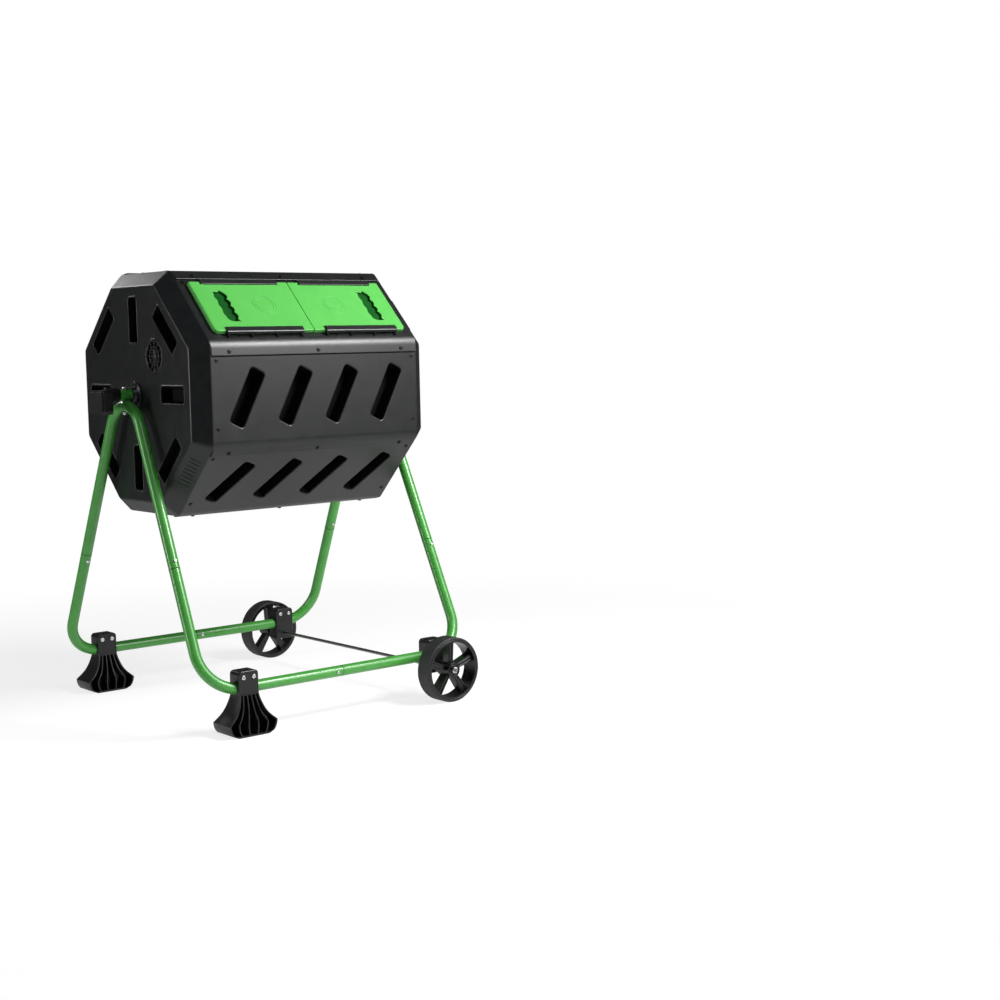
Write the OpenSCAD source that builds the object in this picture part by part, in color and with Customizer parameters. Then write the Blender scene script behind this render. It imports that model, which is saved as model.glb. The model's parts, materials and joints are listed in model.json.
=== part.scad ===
// Two-chamber compost tumbler on a bent-tube frame with two feet and two wheels.
// Millimetres. X runs along the axle, -Y is the door side, +Z is up.
// The origin is on the floor under the middle of the drum.

/* [Drum] */
// Distance across the drum between opposite flanges
drum_flats = 560; // [530:1:590]
// Length of the eight side panels
body_len = 558; // [540:1:640]
// Thickness of every moulded drum wall
wall = 3; // [2.5:0.5:3.5]
// How far each side panel's flange laps over the next panel
flange_w = 31; // [28:1:34]
// How far an end cap stands out past the side panels
cap_depth = 38; // [34:1:44]
// Distance across the flat face of an end cap
cap_flats = 490; // [480:1:500]
// How deep the slanted recesses go
recess_depth = 38; // [24:1:42]
// Number of slanted recesses in a side panel
recess_count = 4; // [2:1:4]
// Length of a slanted recess
recess_len = 135; // [110:1:140]
// Width of a slanted recess
recess_w = 38; // [30:1:42]
// Lean of a slanted recess from the panel's cross line
recess_lean = 27; // [15:1:32]

/* [End cap face] */
// Inner end of a radial grip slot, from the axle
slot_near = 118; // [112:1:130]
// Outer end of a radial grip slot, from the axle
slot_far = 220; // [205:1:222]
// Depth of the grip slots
slot_depth = 24; // [16:1:28]
// Width of the grip slots
slot_w = 37; // [30:1:40]
// Length of the four slots along the sloping sides
side_slot_len = 118; // [90:1:125]
// Distance of those slots from the axle
side_slot_r = 206; // [200:1:208]
// Radius of the air vent's opening
vent_r = 37; // [25:1:40]
// Distance of the vent from the axle
vent_dist = 127; // [120:1:132]

/* [Doors] */
// Width of a door across its rails
door_w = 158; // [140:1:160]
// Height of a door lid above the door panel
door_h = 10; // [8:0.5:12]
// Gap of a door at each end of the panel
door_end_gap = 17.5; // [12:0.5:24]
// Overlap of a door around its window
door_lap = 14; // [12:1:18]
// Length of each rail
rail_len = 202; // [180:1:204]
// How far a rail's lip covers a door's edge
rail_lip = 10; // [7:1:12]
// Length of the finger recess in a door
grip_len = 100; // [80:1:110]
// Width of the finger recess in a door
grip_w = 32; // [24:1:36]
// Depth of the finger recess in a door
grip_depth = 6.5; // [4:0.5:7]

/* [Frame] */
// Height of the axle's centre line above the floor
axle_h = 745; // [720:1:800]
// Outside diameter of the frame tubes and the axle
tube_d = 25.4; // [24:0.2:27]
// Wall of the frame tubes and the axle
tube_t = 1.3; // [1:0.1:1.6]
// Height of the floor bars' centre line
bar_h = 103; // [100:1:112]
// Half the distance between the two floor bars
bar_y = 331; // [310:1:350]
// Bend radius between a leg and a floor bar
corner_r = 90; // [75:1:95]
// Bend radius at the top of a leg pair
top_r = 74; // [68:1:80]
// Gap between a top bend and the drum's end face
frame_gap = 14.6; // [13:0.1:22]
// Outward lean of the legs over their height
leg_splay = 14; // [0:1:20]
// Share of the leg's length above the tube joint
joint_share = 0.638; // [0.6:0.01:0.68]
// Length of the reduced end inside a tube joint
joint_len = 38; // [30:1:45]

/* [Feet and wheels] */
// Distance of the feet from the middle
foot_x = 258; // [250:1:262]
// Distance of the wheels from the middle
wheel_x = 266; // [258:1:270]
// Radius of a wheel
wheel_r = 77; // [72:1:84]
// Width of a wheel's tread
wheel_w = 43; // [36:1:48]
// Diameter of the rod through both wheels
rod_d = 8; // [6:0.5:9]
// Width of the clamp blocks along the bars
clamp_w = 51; // [46:1:56]
// Depth of the clamp blocks across the bars
clamp_t = 37; // [35:1:40]
// Widest part of a foot
foot_w = 122; // [110:1:130]
// Depth of a foot across the bar
foot_t = 70; // [60:1:80]

/* [Axle ends] */
// Width of the end block on the axle
block_w = 72; // [60:1:80]
// Height of the end block on the axle
block_h = 55; // [50:1:60]
// Thickness of the end block
block_t = 26; // [22:1:34]
// Bare axle between the frame and the end block
block_gap = 36; // [20:1:42]

/* [Clearances] */
// Radial running clearance of shafts in their bushes
run_gap = 0.06; // [0.03:0.01:0.09]
// Gap between fixed pieces that fit together
fit_gap = 0.2; // [0.1:0.05:0.3]
// Gap between a door and what it slides on
slide_gap = 0.5; // [0.4:0.1:0.8]

/* [Hidden] */
$fn = 64;
SIN45 = sin(45);

// ---- drum ----
half_len = body_len / 2;
flange_out = drum_flats / 2;           // outer face of the flanges, from the axle
plate_out = flange_out - wall;         // outer face of the flat plates
plate_in = plate_out - wall;
half_side = flange_out * tan(22.5);
face_x = half_len + cap_depth;         // outer face of an end cap
skirt_len = 25;                        // end cap skirt under the panels
cap_rim_x = half_len + 3;              // where the bevel starts
cap_rim_r = plate_out;
screw_r = 1.7;
screw_hole_r = screw_r + 0.1;
screw_head_r = 3.6;
flange_screw_t = 22;                   // flange screws, from the fold
end_screw_x = half_len - 12;
end_screw_t = 75;
flange_screw_x = half_len - 44;
// Screws along a panel's end. The door side has none in a door's way.
function end_screw_rows(k, way = 1) =
    k == 1 ? [way * end_screw_t] : [-end_screw_t, end_screw_t];
recess_shift = 8;                      // recesses sit below the panel's middle
recess_pitch = (body_len - 50) / recess_count;
recess_r = 8;

// ---- tubes ----
tube_r = tube_d / 2;
tube_in = tube_r - tube_t;
male_r = tube_in - 0.1;
bend_extra = 0.03;                     // a bend's wall is thicker than a straight run's
bend_lap = 0.5;
leg_x = face_x + frame_gap + tube_r;                 // leg pair's plane at the top bend
apex_z = axle_h - tube_d;                            // centre of the top bend
foot_leg_x = leg_x + leg_splay;
// The two legs would meet at a point above the top bend. Its height follows from the bend.
function meet_rise(half) = top_r * (1 / sin(half) - 1);
function lean(z) = atan(bar_y / (z - bar_h));
meet_0 = apex_z + meet_rise(25);
meet_1 = apex_z + meet_rise(lean(meet_0));
meet_2 = apex_z + meet_rise(lean(meet_1));
meet_z = apex_z + meet_rise(lean(meet_2));
tube_bolt_r = 2.5;
tube_bolt_off = 16;                                  // joint bolt, from the seam

// ---- doors ----
door_mid = 11;                                       // door's middle, below the side's middle
door_bottom = plate_out + slide_gap;
door_top = door_bottom + door_h;
door_out = half_len - door_end_gap;
door_seam = 1;
window_w = door_w - 2 * door_lap;
window_in = 18;
window_out = door_out - door_lap - 12;
rail_mid_x = 30 + rail_len / 2;
rail_wall = 3;
rail_foot = 8;
rail_web_t = door_w / 2 + slide_gap;                 // rail's inner face, from the door's middle
rail_top = door_top + slide_gap + rail_wall;

// ---- axle and hubs ----
hub_barrel_r = 17;
hub_flange_r = 30;
hub_flange_t = 4;
hub_in = 22;
hub_end_gap = 1;
axle_bolt_r = 3.9;
axle_bolt_hole_r = axle_bolt_r + 0.2;
block_x = leg_x + tube_r + block_gap;                // inner face of an end block
block_drop = 15;
axle_half = block_x + 16;
bolt_head_h = 5;

// ---- wheels and feet ----
clamp_top = bar_h + tube_r + 27.3;
clamp_bolt_z = bar_h + tube_r + 13.3;
clamp_bolt_x = 13;
clamp_bolt_r = 2.9;
wheel_gap = 0.5;
wheel_side = clamp_t / 2 + 22;                       // wheel's inner side, from the bar
wheel_in_y = bar_y + wheel_side;
wheel_out_y = wheel_in_y + wheel_w;
rod_end_y = wheel_out_y + 10;
rod_r = rod_d / 2;
rim_t = 11;
wheel_hub_r = 18;
foot_flat_w = 76;
foot_belly_z = 30;
foot_neck_z = bar_h - tube_r + 2.7;
foot_neck_w = 49;

// ================= helpers =================
function unit(v) = v / norm(v);

// Stands its child, made along +Z from the origin, on the line from p to q
module along(p, q) {
    d = q - p;
    translate(p) rotate([0, acos(d.z / norm(d)), atan2(d.y, d.x)]) children();
}

module rod(p, q, r) {
    along(p, q) cylinder(r = r, h = norm(q - p));
}

function bend_setback(a, b, bend_r) = bend_r * tan(acos(a * b) / 2);

// Carries a bend's own frame to the corner k of the path from p to q. There the bend's
// centre is the origin, the first leg ends at [bend_r, 0, 0] and runs along +Y.
module at_bend(p, k, q, bend_r) {
    a = unit(k - p);
    b = unit(q - k);
    n = unit(b - (a * b) * a);
    w = cross(-n, a);
    o = k - a * bend_setback(a, b, bend_r) + n * bend_r;
    multmatrix([
        [-n.x, a.x, w.x, o.x],
        [-n.y, a.y, w.y, o.y],
        [-n.z, a.z, w.z, o.z],
        [0, 0, 0, 1]
    ])
        children();
}

// Turns a section drawn beside the Y axis into a leg: y is the distance from the bend
module first_leg(bend_r) {
    translate([bend_r, 0, 0]) rotate([90, 0, 0]) rotate_extrude() children();
}

module second_leg(bend_r, turn) {
    rotate([0, 0, turn]) translate([bend_r, 0, 0]) rotate([-90, 0, 0]) rotate_extrude()
        children();
}

module ring_section(inner, outer, length) {
    translate([inner, 0]) square([outer - inner, length]);
}

// A solid rod of radius r from p, round the corner k, to q
module bent_rod(p, k, q, bend_r, r) {
    turn = acos(unit(k - p) * unit(q - k));
    setback = bend_r * tan(turn / 2);
    at_bend(p, k, q, bend_r) {
        first_leg(bend_r) ring_section(0, r, norm(k - p) - setback);
        rotate_extrude(angle = turn) translate([bend_r, 0]) circle(r);
        second_leg(bend_r, turn) ring_section(0, r, norm(q - k) - setback);
    }
}

// A bent tube whose end p is reduced to slide into the next tube. Its straight runs start
// a little way inside the bend's wall, which is a hair thicker.
module bent_tube(p, k, q, bend_r) {
    turn = acos(unit(k - p) * unit(q - k));
    setback = bend_r * tan(turn / 2);
    first = norm(k - p) - setback;
    second = norm(q - k) - setback;
    run_in = tube_in + bend_extra;
    run_r = tube_r - bend_extra;
    male_in = male_r - tube_t;
    shoulder = 5;
    at_bend(p, k, q, bend_r) {
        first_leg(bend_r) polygon([
            [run_in, -bend_lap], [run_r, -bend_lap], [run_r, first], [male_r, first],
            [male_r, first + joint_len], [male_in, first + joint_len],
            [male_in, first - shoulder], [run_in, first - shoulder]
        ]);
        rotate_extrude(angle = turn) translate([bend_r, 0]) difference() {
            circle(tube_r);
            circle(tube_in);
        }
        second_leg(bend_r, turn) translate([0, -bend_lap])
            ring_section(run_in, run_r, second + bend_lap);
    }
}

module rounded_rect(l, w, r) {
    square([l - 2 * r, w], center = true);
    square([l, w - 2 * r], center = true);
    for (i = [-1, 1], j = [-1, 1]) {
        translate([i * (l / 2 - r), j * (w / 2 - r)]) circle(r);
    }
}

// Turns the top side's frame round to side k, counted towards the doors
module on_side(k) {
    translate([0, 0, axle_h]) rotate([45 * k, 0, 0]) children();
}

// Turns the -X end's frame round to the +X end
module at_end(side) {
    rotate([0, 0, side < 0 ? 0 : 180]) children();
}

module hex(across, h) {
    cylinder(r = across / 2 / cos(30), h = h, $fn = 6);
}

// ================= drum =================
// In a side's own frame Z is outwards and -Y runs towards the next side
module panel_profile() {
    fold_out = (flange_out - plate_out * SIN45) / SIN45;
    fold_in = (plate_out - plate_in * SIN45) / SIN45;
    start = plate_out - 2 * SIN45 * plate_in + fit_gap + 1;
    tip = -half_side + flange_w;
    function next_side(n, t) = [-(n + t) * SIN45, (n - t) * SIN45];
    polygon([
        [-start, plate_out],
        [-fold_out, plate_out],
        next_side(flange_out, tip),
        next_side(plate_out + 0.001, tip),
        [-fold_in, plate_in],
        [-start, plate_in]
    ]);
}

module panel_blank() {
    rotate([90, 0, 90]) translate([0, 0, -half_len]) linear_extrude(body_len) panel_profile();
}

function recess_x(i) = (i - (recess_count - 1) / 2) * recess_pitch;

module recess(i, grow, low, high) {
    translate([recess_x(i), -recess_shift, low])
        rotate([0, 0, -recess_lean])
            linear_extrude(high - low)
                rounded_rect(recess_w + 2 * grow, recess_len + 2 * grow, recess_r + grow);
}

module panel_holes(k) {
    for (x = [-flange_screw_x, 0, flange_screw_x]) {
        translate([x, half_side - flange_screw_t, plate_in - 1])
            cylinder(r = screw_hole_r, h = 3 * wall);
        rotate([45, 0, 0]) translate([x, half_side - flange_screw_t, plate_in])
            cylinder(r = screw_hole_r, h = 3 * wall);
    }
    for (x = [-end_screw_x, end_screw_x], t = end_screw_rows(k)) {
        translate([x, t, plate_in - 1]) cylinder(r = screw_hole_r, h = 3 * wall);
    }
}

module side_panel(k) {
    color("#2b2d2f") on_side(k) difference() {
        union() {
            panel_blank();
            for (i = [0:recess_count - 1]) {
                recess(i, wall, plate_out - recess_depth - wall, plate_out - 1);
            }
        }
        for (i = [0:recess_count - 1]) {
            recess(i, 0, plate_out - recess_depth, plate_out + 1);
        }
        panel_holes(k);
    }
}

module panel_door() {
    color("#2b2d2f") on_side(1) difference() {
        panel_blank();
        for (s = [-1, 1]) {
            translate([s * (window_in + window_out) / 2, -door_mid, plate_in - 1])
                linear_extrude(wall + 2) rounded_rect(window_out - window_in, window_w, 10);
        }
        panel_holes(1);
        rail_screw_places() cylinder(r = screw_hole_r, h = 6 * wall, center = true);
    }
}

module slab(points) {
    rotate([90, 0, 0]) linear_extrude(2 * drum_flats, center = true) polygon(points);
}

// The end cap's solid outline, or its hollow
module cap_form(points) {
    both = concat(points, [for (i = [len(points) - 1:-1:0]) [points[i].x, -points[i].y]]);
    translate([0, 0, axle_h]) intersection_for(k = [0:3]) rotate([45 * k, 0, 0]) slab(both);
}

module cap_slots(grow, low, high) {
    for (k = [0:3]) {
        translate([-high, 0, axle_h]) rotate([90 * k, 0, 0]) rotate([0, 90, 0])
            linear_extrude(high - low) {
                translate([-(slot_near + slot_far) / 2, 0])
                    rounded_rect(slot_far - slot_near + 2 * grow, slot_w + 2 * grow, 6 + grow);
                rotate(45) translate([-side_slot_r, 0])
                    rounded_rect(slot_w + 2 * grow, side_slot_len + 2 * grow, 6 + grow);
            }
    }
}

module vent_place() {
    translate([-face_x, -vent_dist * cos(43), axle_h + vent_dist * sin(43)])
        rotate([0, 90, 0]) children();
}

// Modelled at the -X end; side says which end it is for
module end_cap(side) {
    bevel_in = cap_rim_x + 3.5;
    difference() {
        union() {
            difference() {
                cap_form([
                    [-half_len + skirt_len, plate_in - fit_gap],
                    [-half_len - fit_gap, plate_in - fit_gap],
                    [-half_len - fit_gap, cap_rim_r],
                    [-cap_rim_x, cap_rim_r],
                    [-face_x, cap_flats / 2]
                ]);
                cap_form([
                    [-half_len + skirt_len + 1, plate_in - wall],
                    [-bevel_in, plate_in - wall],
                    [-face_x + wall, cap_flats / 2 - 0.5 * wall]
                ]);
            }
            cap_slots(wall, face_x - slot_depth - wall, face_x - 1);
        }
        cap_slots(0, face_x - slot_depth, face_x + 1);
        vent_place() cylinder(r = vent_r, h = 3 * wall, center = true);
        translate([-face_x, 0, axle_h]) rotate([0, 90, 0])
            cylinder(r = hub_barrel_r + fit_gap, h = 3 * wall, center = true);
        for (k = [0:7]) {
            on_side(k) for (t = end_screw_rows(side < 0 ? k : 8 - k, -side)) {
                translate([-end_screw_x, t, plate_in - 2 * wall])
                    cylinder(r = screw_hole_r, h = 3 * wall);
            }
        }
    }
}

module end_cap_left() {
    color("#303234") end_cap(-1);
}

module end_cap_right() {
    color("#303234") at_end(1) end_cap(1);
}

module divider() {
    color("#26282a") translate([0, 0, axle_h]) rotate([0, 90, 0]) difference() {
        union() {
            rotate(22.5) cylinder(r = (plate_in - fit_gap) / cos(22.5), h = wall,
                center = true, $fn = 8);
            cylinder(r = 24, h = 4 * wall, center = true);
        }
        cylinder(r = tube_r + 1, h = 5 * wall, center = true);
    }
}

module hub() {
    translate([-face_x, 0, axle_h]) rotate([0, 90, 0]) difference() {
        union() {
            translate([0, 0, -frame_gap + hub_end_gap])
                cylinder(r = hub_barrel_r, h = frame_gap - hub_end_gap + hub_in);
            translate([0, 0, -hub_flange_t]) cylinder(r = hub_flange_r, h = hub_flange_t);
        }
        translate([0, 0, -frame_gap]) cylinder(r = tube_r + run_gap, h = frame_gap + hub_in + 1);
    }
}

module hub_left() {
    color("#1b1c1d") hub();
}

module hub_right() {
    color("#1b1c1d") at_end(1) hub();
}

// A screened insert with a spoked grille, pressed into the end cap
module vent() {
    vent_place() {
        difference() {
            union() {
                translate([0, 0, -2]) cylinder(r = vent_r + 4, h = 2);
                cylinder(r = vent_r - fit_gap, h = 9);
            }
            translate([0, 0, -3]) cylinder(r = vent_r - 4, h = 13);
        }
        difference() {
            union() {
                for (a = [0:30:150]) {
                    rotate(a) translate([-vent_r + 3, -1.4, 0])
                        cube([2 * vent_r - 6, 2.8, 3]);
                }
                cylinder(r = 9, h = 3);
                difference() {
                    cylinder(r = 22.5, h = 3);
                    translate([0, 0, -1]) cylinder(r = 19.5, h = 5);
                }
            }
            translate([0, 0, -1]) cylinder(r = 3, h = 6);
        }
    }
}

module vent_left() {
    color("#141515") vent();
}

module vent_right() {
    color("#141515") at_end(1) vent();
}

// A rail's section, with its web at x = 0, its foot to -x and its lip to +x
module rail_profile() {
    square([rail_wall, rail_top - plate_out]);
    translate([-rail_foot, 0]) square([rail_foot + rail_wall, rail_wall]);
    translate([0, rail_top - plate_out - rail_wall])
        square([rail_wall + rail_lip + slide_gap, rail_wall]);
}

// edge is -1 for the rail next to the front panel and 1 for the one next to the top
module rail(edge) {
    color("#1a1b1c") on_side(1) for (s = [-1, 1]) {
        difference() {
            translate([s * rail_mid_x, -door_mid + edge * (rail_web_t + rail_wall), plate_out])
                scale([1, -edge, 1]) rotate([90, 0, 90])
                    linear_extrude(rail_len, center = true) rail_profile();
            rail_screw_places() cylinder(r = screw_hole_r, h = 6 * wall, center = true);
        }
    }
}

module rail_screw_places() {
    for (s = [-1, 1], e = [-1, 1], i = [-1, 1]) {
        translate([
            s * rail_mid_x + i * (rail_len / 2 - 33),
            -door_mid + e * (rail_web_t + rail_wall + rail_foot / 2),
            plate_out
        ]) children();
    }
}

module screw(length) {
    cylinder(r = screw_r, h = length);
    translate([0, 0, length]) cylinder(r = screw_head_r, h = 1.8);
}

module panel_screws() {
    color("#0d0d0e") for (k = [0:7]) {
        on_side(k) {
            for (x = [-flange_screw_x, 0, flange_screw_x]) {
                translate([x, half_side - flange_screw_t, plate_in + fit_gap])
                    screw(flange_out - plate_in - fit_gap);
            }
            for (x = [-end_screw_x, end_screw_x], t = end_screw_rows(k)) {
                translate([x, t, plate_out - 9]) screw(9);
            }
        }
    }
}

module rail_screws() {
    color("#0d0d0e") on_side(1) rail_screw_places() translate([0, 0, rail_wall - 8]) screw(8);
}

// ================= doors =================
module door_outline(inset) {
    translate([door_seam / 2 + inset, -door_w / 2 + inset])
        square([door_out - door_seam / 2 - 2 * inset, door_w - 2 * inset]);
}

module grip_form(grow, low, high) {
    grip_x = door_out - 64;
    lobes = 4;
    step = (grip_len - grip_w) / (lobes - 1);
    translate([grip_x, 0, low]) linear_extrude(high - low) {
        for (i = [0:lobes - 1]) {
            translate([0, (i - (lobes - 1) / 2) * step]) circle(grip_w / 2 + grow);
        }
        square([grip_w - 8 + 2 * grow, grip_len - grip_w], center = true);
    }
}

// A lid with turned-down edges, for the +X half; Z is measured from the panel
module door() {
    difference() {
        union() {
            difference() {
                translate([0, 0, slide_gap]) linear_extrude(door_h) door_outline(0);
                translate([0, 0, slide_gap - 1]) linear_extrude(door_h - wall + 1)
                    door_outline(wall);
            }
            grip_form(wall - 0.5, slide_gap + door_h - grip_depth - 1.5, slide_gap + door_h - 1);
        }
        grip_form(0, slide_gap + door_h - grip_depth, slide_gap + door_h + 1);
        translate([door_out, 0, slide_gap + door_h]) rotate([0, 51, 0])
            cube([8, door_w + 2, 8], center = true);
    }
}

module door_right() {
    color("#4fc043") on_side(1) translate([0, -door_mid, plate_out]) door();
}

module door_left() {
    color("#4fc043") on_side(1) translate([0, -door_mid, plate_out]) rotate(180) door();
}

// ================= frame =================
module axle_tube() {
    color("#3c9a33") translate([-axle_half, 0, axle_h]) rotate([0, 90, 0]) difference() {
        cylinder(r = tube_r, h = 2 * axle_half);
        translate([0, 0, -1]) cylinder(r = tube_in, h = 2 * axle_half + 2);
        for (x = [axle_half - leg_x, axle_half + leg_x]) {
            translate([0, 0, x]) rotate([0, 90, 0])
                cylinder(r = axle_bolt_hole_r, h = 3 * tube_r, center = true);
        }
    }
}

module axle_block(side) {
    inset = 4;
    color("#202122") at_end(side) translate([-block_x, 0, axle_h]) rotate([0, -90, 0])
        difference() {
            union() {
                translate([-block_drop, 0, 0]) linear_extrude(block_t - inset)
                    rounded_rect(block_h, block_w, 9);
                translate([-block_drop, 0, 0]) linear_extrude(block_t)
                    rounded_rect(block_h - 2 * inset, block_w - 2 * inset, 6);
            }
            translate([0, 0, -1]) cylinder(r = tube_r + fit_gap, h = 18);
        }
}

module axle_block_left() {
    axle_block(-1);
}

module axle_block_right() {
    axle_block(1);
}

// Where the legs of one end would meet, and where a leg would meet its floor bar
function meet(sx) = [sx * (leg_x - leg_splay * (meet_z - apex_z) / (apex_z - bar_h)), 0, meet_z];
function corner(sx, sy) = [sx * foot_leg_x, sy * bar_y, bar_h];
function seam(sx, sy) = meet(sx) + (corner(sx, sy) - meet(sx)) * joint_share;

// The reduced end of each piece is on the leg where turn is -1
module leg_tube(sx) {
    color("#3fa535") difference() {
        bent_tube(seam(sx, -sx), meet(sx), seam(sx, sx), top_r);
        translate([sx * leg_x, 0, apex_z])
            cylinder(r = axle_bolt_hole_r, h = 3 * tube_r, center = true);
        tube_bolt_places() cylinder(r = tube_bolt_r + 0.1, h = 4 * tube_r, center = true);
    }
}

module leg_tube_left() {
    leg_tube(-1);
}

module leg_tube_right() {
    leg_tube(1);
}

module corner_tube(sx, sy) {
    top = seam(sx, sy);
    mid = [0, sy * bar_y, bar_h];
    reduced_top = sx * sy > 0;
    color("#3fa535") difference() {
        bent_tube(reduced_top ? top : mid, corner(sx, sy), reduced_top ? mid : top, corner_r);
        tube_bolt_places() cylinder(r = tube_bolt_r + 0.1, h = 4 * tube_r, center = true);
    }
}

module corner_front_left() {
    corner_tube(-1, -1);
}

module corner_rear_left() {
    corner_tube(-1, 1);
}

module corner_front_right() {
    corner_tube(1, -1);
}

module corner_rear_right() {
    corner_tube(1, 1);
}

// Centre of each tube joint's bolt, with its head end towards -Y
module tube_bolt_places() {
    for (sx = [-1, 1], sy = [-1, 1]) {
        outer = sx * sy > 0 ? -1 : 1;
        d = unit(corner(sx, sy) - meet(sx));
        at = seam(sx, sy) + d * outer * tube_bolt_off;
        // square to the leg, leaning with it
        along(at, at + unit([0, d.z, -d.y])) children();
    }
    for (sy = [-1, 1]) {
        translate([sy * tube_bolt_off, sy * bar_y, bar_h]) rotate([90, 0, 0]) children();
    }
}

module tube_bolts() {
    color("silver") tube_bolt_places() {
        cylinder(r = tube_bolt_r, h = 2 * tube_r + 6, center = true);
        translate([0, 0, tube_r + 1]) cylinder(r = 4.6, h = 2.6);
        translate([0, 0, -tube_r - 4.5]) hex(8, 3.5);
    }
}

module axle_bolts() {
    color("silver") for (sx = [-1, 1]) {
        translate([sx * leg_x, 0, apex_z - tube_r - 8])
            cylinder(r = axle_bolt_r, h = 2 * tube_d + 8 + 0.2);
        translate([sx * leg_x, 0, axle_h + tube_r + 0.2]) cylinder(r = 7, h = bolt_head_h);
    }
}

module axle_nuts() {
    color("silver") for (sx = [-1, 1]) {
        translate([sx * leg_x, 0, apex_z - tube_r - 7.2]) difference() {
            hex(13, 6.5);
            translate([0, 0, -1]) cylinder(r = axle_bolt_r + 0.05, h = 9);
        }
    }
}

// ================= feet and wheels =================
// Space for the bent floor tube and its clearance
module bar_space(sx, sy) {
    bent_rod(seam(sx, sy), corner(sx, sy), [0, sy * bar_y, bar_h], corner_r, tube_r + fit_gap);
}

module clamp_bolt_places(x) {
    for (i = [-1, 1]) {
        translate([x + i * clamp_bolt_x, 0, clamp_bolt_z]) rotate([90, 0, 0]) children();
    }
}

// Half the foot's width at height z: a neck, a bell and a tucked-in sole
function foot_half(z) = z > foot_belly_z
    ? foot_neck_w / 2 + (foot_w - foot_neck_w) / 2
        * pow(1 - (z - foot_belly_z) / (foot_neck_z - foot_belly_z), 1.7)
        * (1 - 0.25 * sin(180 * (z - foot_belly_z) / (foot_neck_z - foot_belly_z)))
    : foot_flat_w / 2 + (foot_w - foot_flat_w) / 2 * sqrt(1 - pow(1 - z / foot_belly_z, 2));

foot_steps = 16;
function foot_z(i) = foot_neck_z * i / foot_steps;

module foot_silhouette(inset) {
    polygon(concat(
        [for (i = [0:foot_steps]) [foot_half(foot_z(i)) - inset, foot_z(i)]],
        [for (i = [foot_steps:-1:0]) [inset - foot_half(foot_z(i)), foot_z(i)]]
    ));
}

module foot(sy) {
    web = 4;
    rib_share = [-0.6, -0.2, 0.2, 0.6];
    color("#191a1b") difference() {
        translate([-foot_x, sy * bar_y, 0]) {
            difference() {
                intersection() {
                    rotate([90, 0, 0]) linear_extrude(foot_t, center = true)
                        foot_silhouette(0);
                    rotate([90, 0, 90]) linear_extrude(2 * foot_w, center = true) polygon([
                        [-foot_t / 2, 0], [foot_t / 2, 0], [foot_t / 2, foot_belly_z],
                        [clamp_t / 2, foot_neck_z], [-clamp_t / 2, foot_neck_z],
                        [-foot_t / 2, foot_belly_z]
                    ]);
                }
                for (s = [-1, 1]) {
                    translate([0, s * (foot_t / 2 + web / 2), 0]) rotate([90, 0, 0])
                        linear_extrude(foot_t, center = true) difference() {
                            intersection() {
                                foot_silhouette(4);
                                translate([-foot_w, 4]) square([2 * foot_w, foot_neck_z - 8]);
                            }
                            for (u = rib_share) {
                                polygon(concat(
                                    [for (i = [0:foot_steps])
                                        [u * foot_half(foot_z(i)) - 1.5, foot_z(i)]],
                                    [for (i = [foot_steps:-1:0])
                                        [u * foot_half(foot_z(i)) + 1.5, foot_z(i)]]
                                ));
                            }
                        }
                }
            }
            translate([-clamp_w / 2, -clamp_t / 2, foot_neck_z])
                cube([clamp_w, clamp_t, clamp_top - foot_neck_z]);
        }
        bar_space(-1, sy);
        translate([0, sy * bar_y, 0]) clamp_bolt_places(-foot_x)
            cylinder(r = clamp_bolt_r + 0.1, h = 2 * clamp_t, center = true);
    }
}

module foot_front() {
    foot(-1);
}

module foot_rear() {
    foot(1);
}

module clamp_bolts(x) {
    color("silver") for (sy = [-1, 1]) {
        translate([0, sy * bar_y, 0]) clamp_bolt_places(x) {
            cylinder(r = clamp_bolt_r, h = clamp_t + 8, center = true);
            for (s = [-1, 1]) {
                scale([1, 1, s]) translate([0, 0, clamp_t / 2 + 0.1]) cylinder(r = 5, h = 2.4);
            }
        }
    }
}

module foot_bolts() {
    clamp_bolts(-foot_x);
}

module bracket_bolts() {
    clamp_bolts(wheel_x);
}

module wheel_bracket(sy) {
    low = wheel_r - 15;
    color("#191a1b") difference() {
        union() {
            translate([wheel_x - clamp_w / 2, sy * bar_y - clamp_t / 2, low])
                cube([clamp_w, clamp_t, clamp_top - low]);
            rod([wheel_x, sy * bar_y, wheel_r], [wheel_x, sy * (wheel_in_y - wheel_gap), wheel_r], 13);
        }
        bar_space(1, sy);
        rod([wheel_x, 0, wheel_r], [wheel_x, sy * rod_end_y, wheel_r], rod_r + 0.15);
        translate([0, sy * bar_y, 0]) clamp_bolt_places(wheel_x)
            cylinder(r = clamp_bolt_r + 0.1, h = 2 * clamp_t, center = true);
    }
}

module wheel_bracket_front() {
    wheel_bracket(-1);
}

module wheel_bracket_rear() {
    wheel_bracket(1);
}

module wheel_rod() {
    color("#3a3a3a") rod([wheel_x, -rod_end_y, wheel_r], [wheel_x, rod_end_y, wheel_r], rod_r);
}

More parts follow.
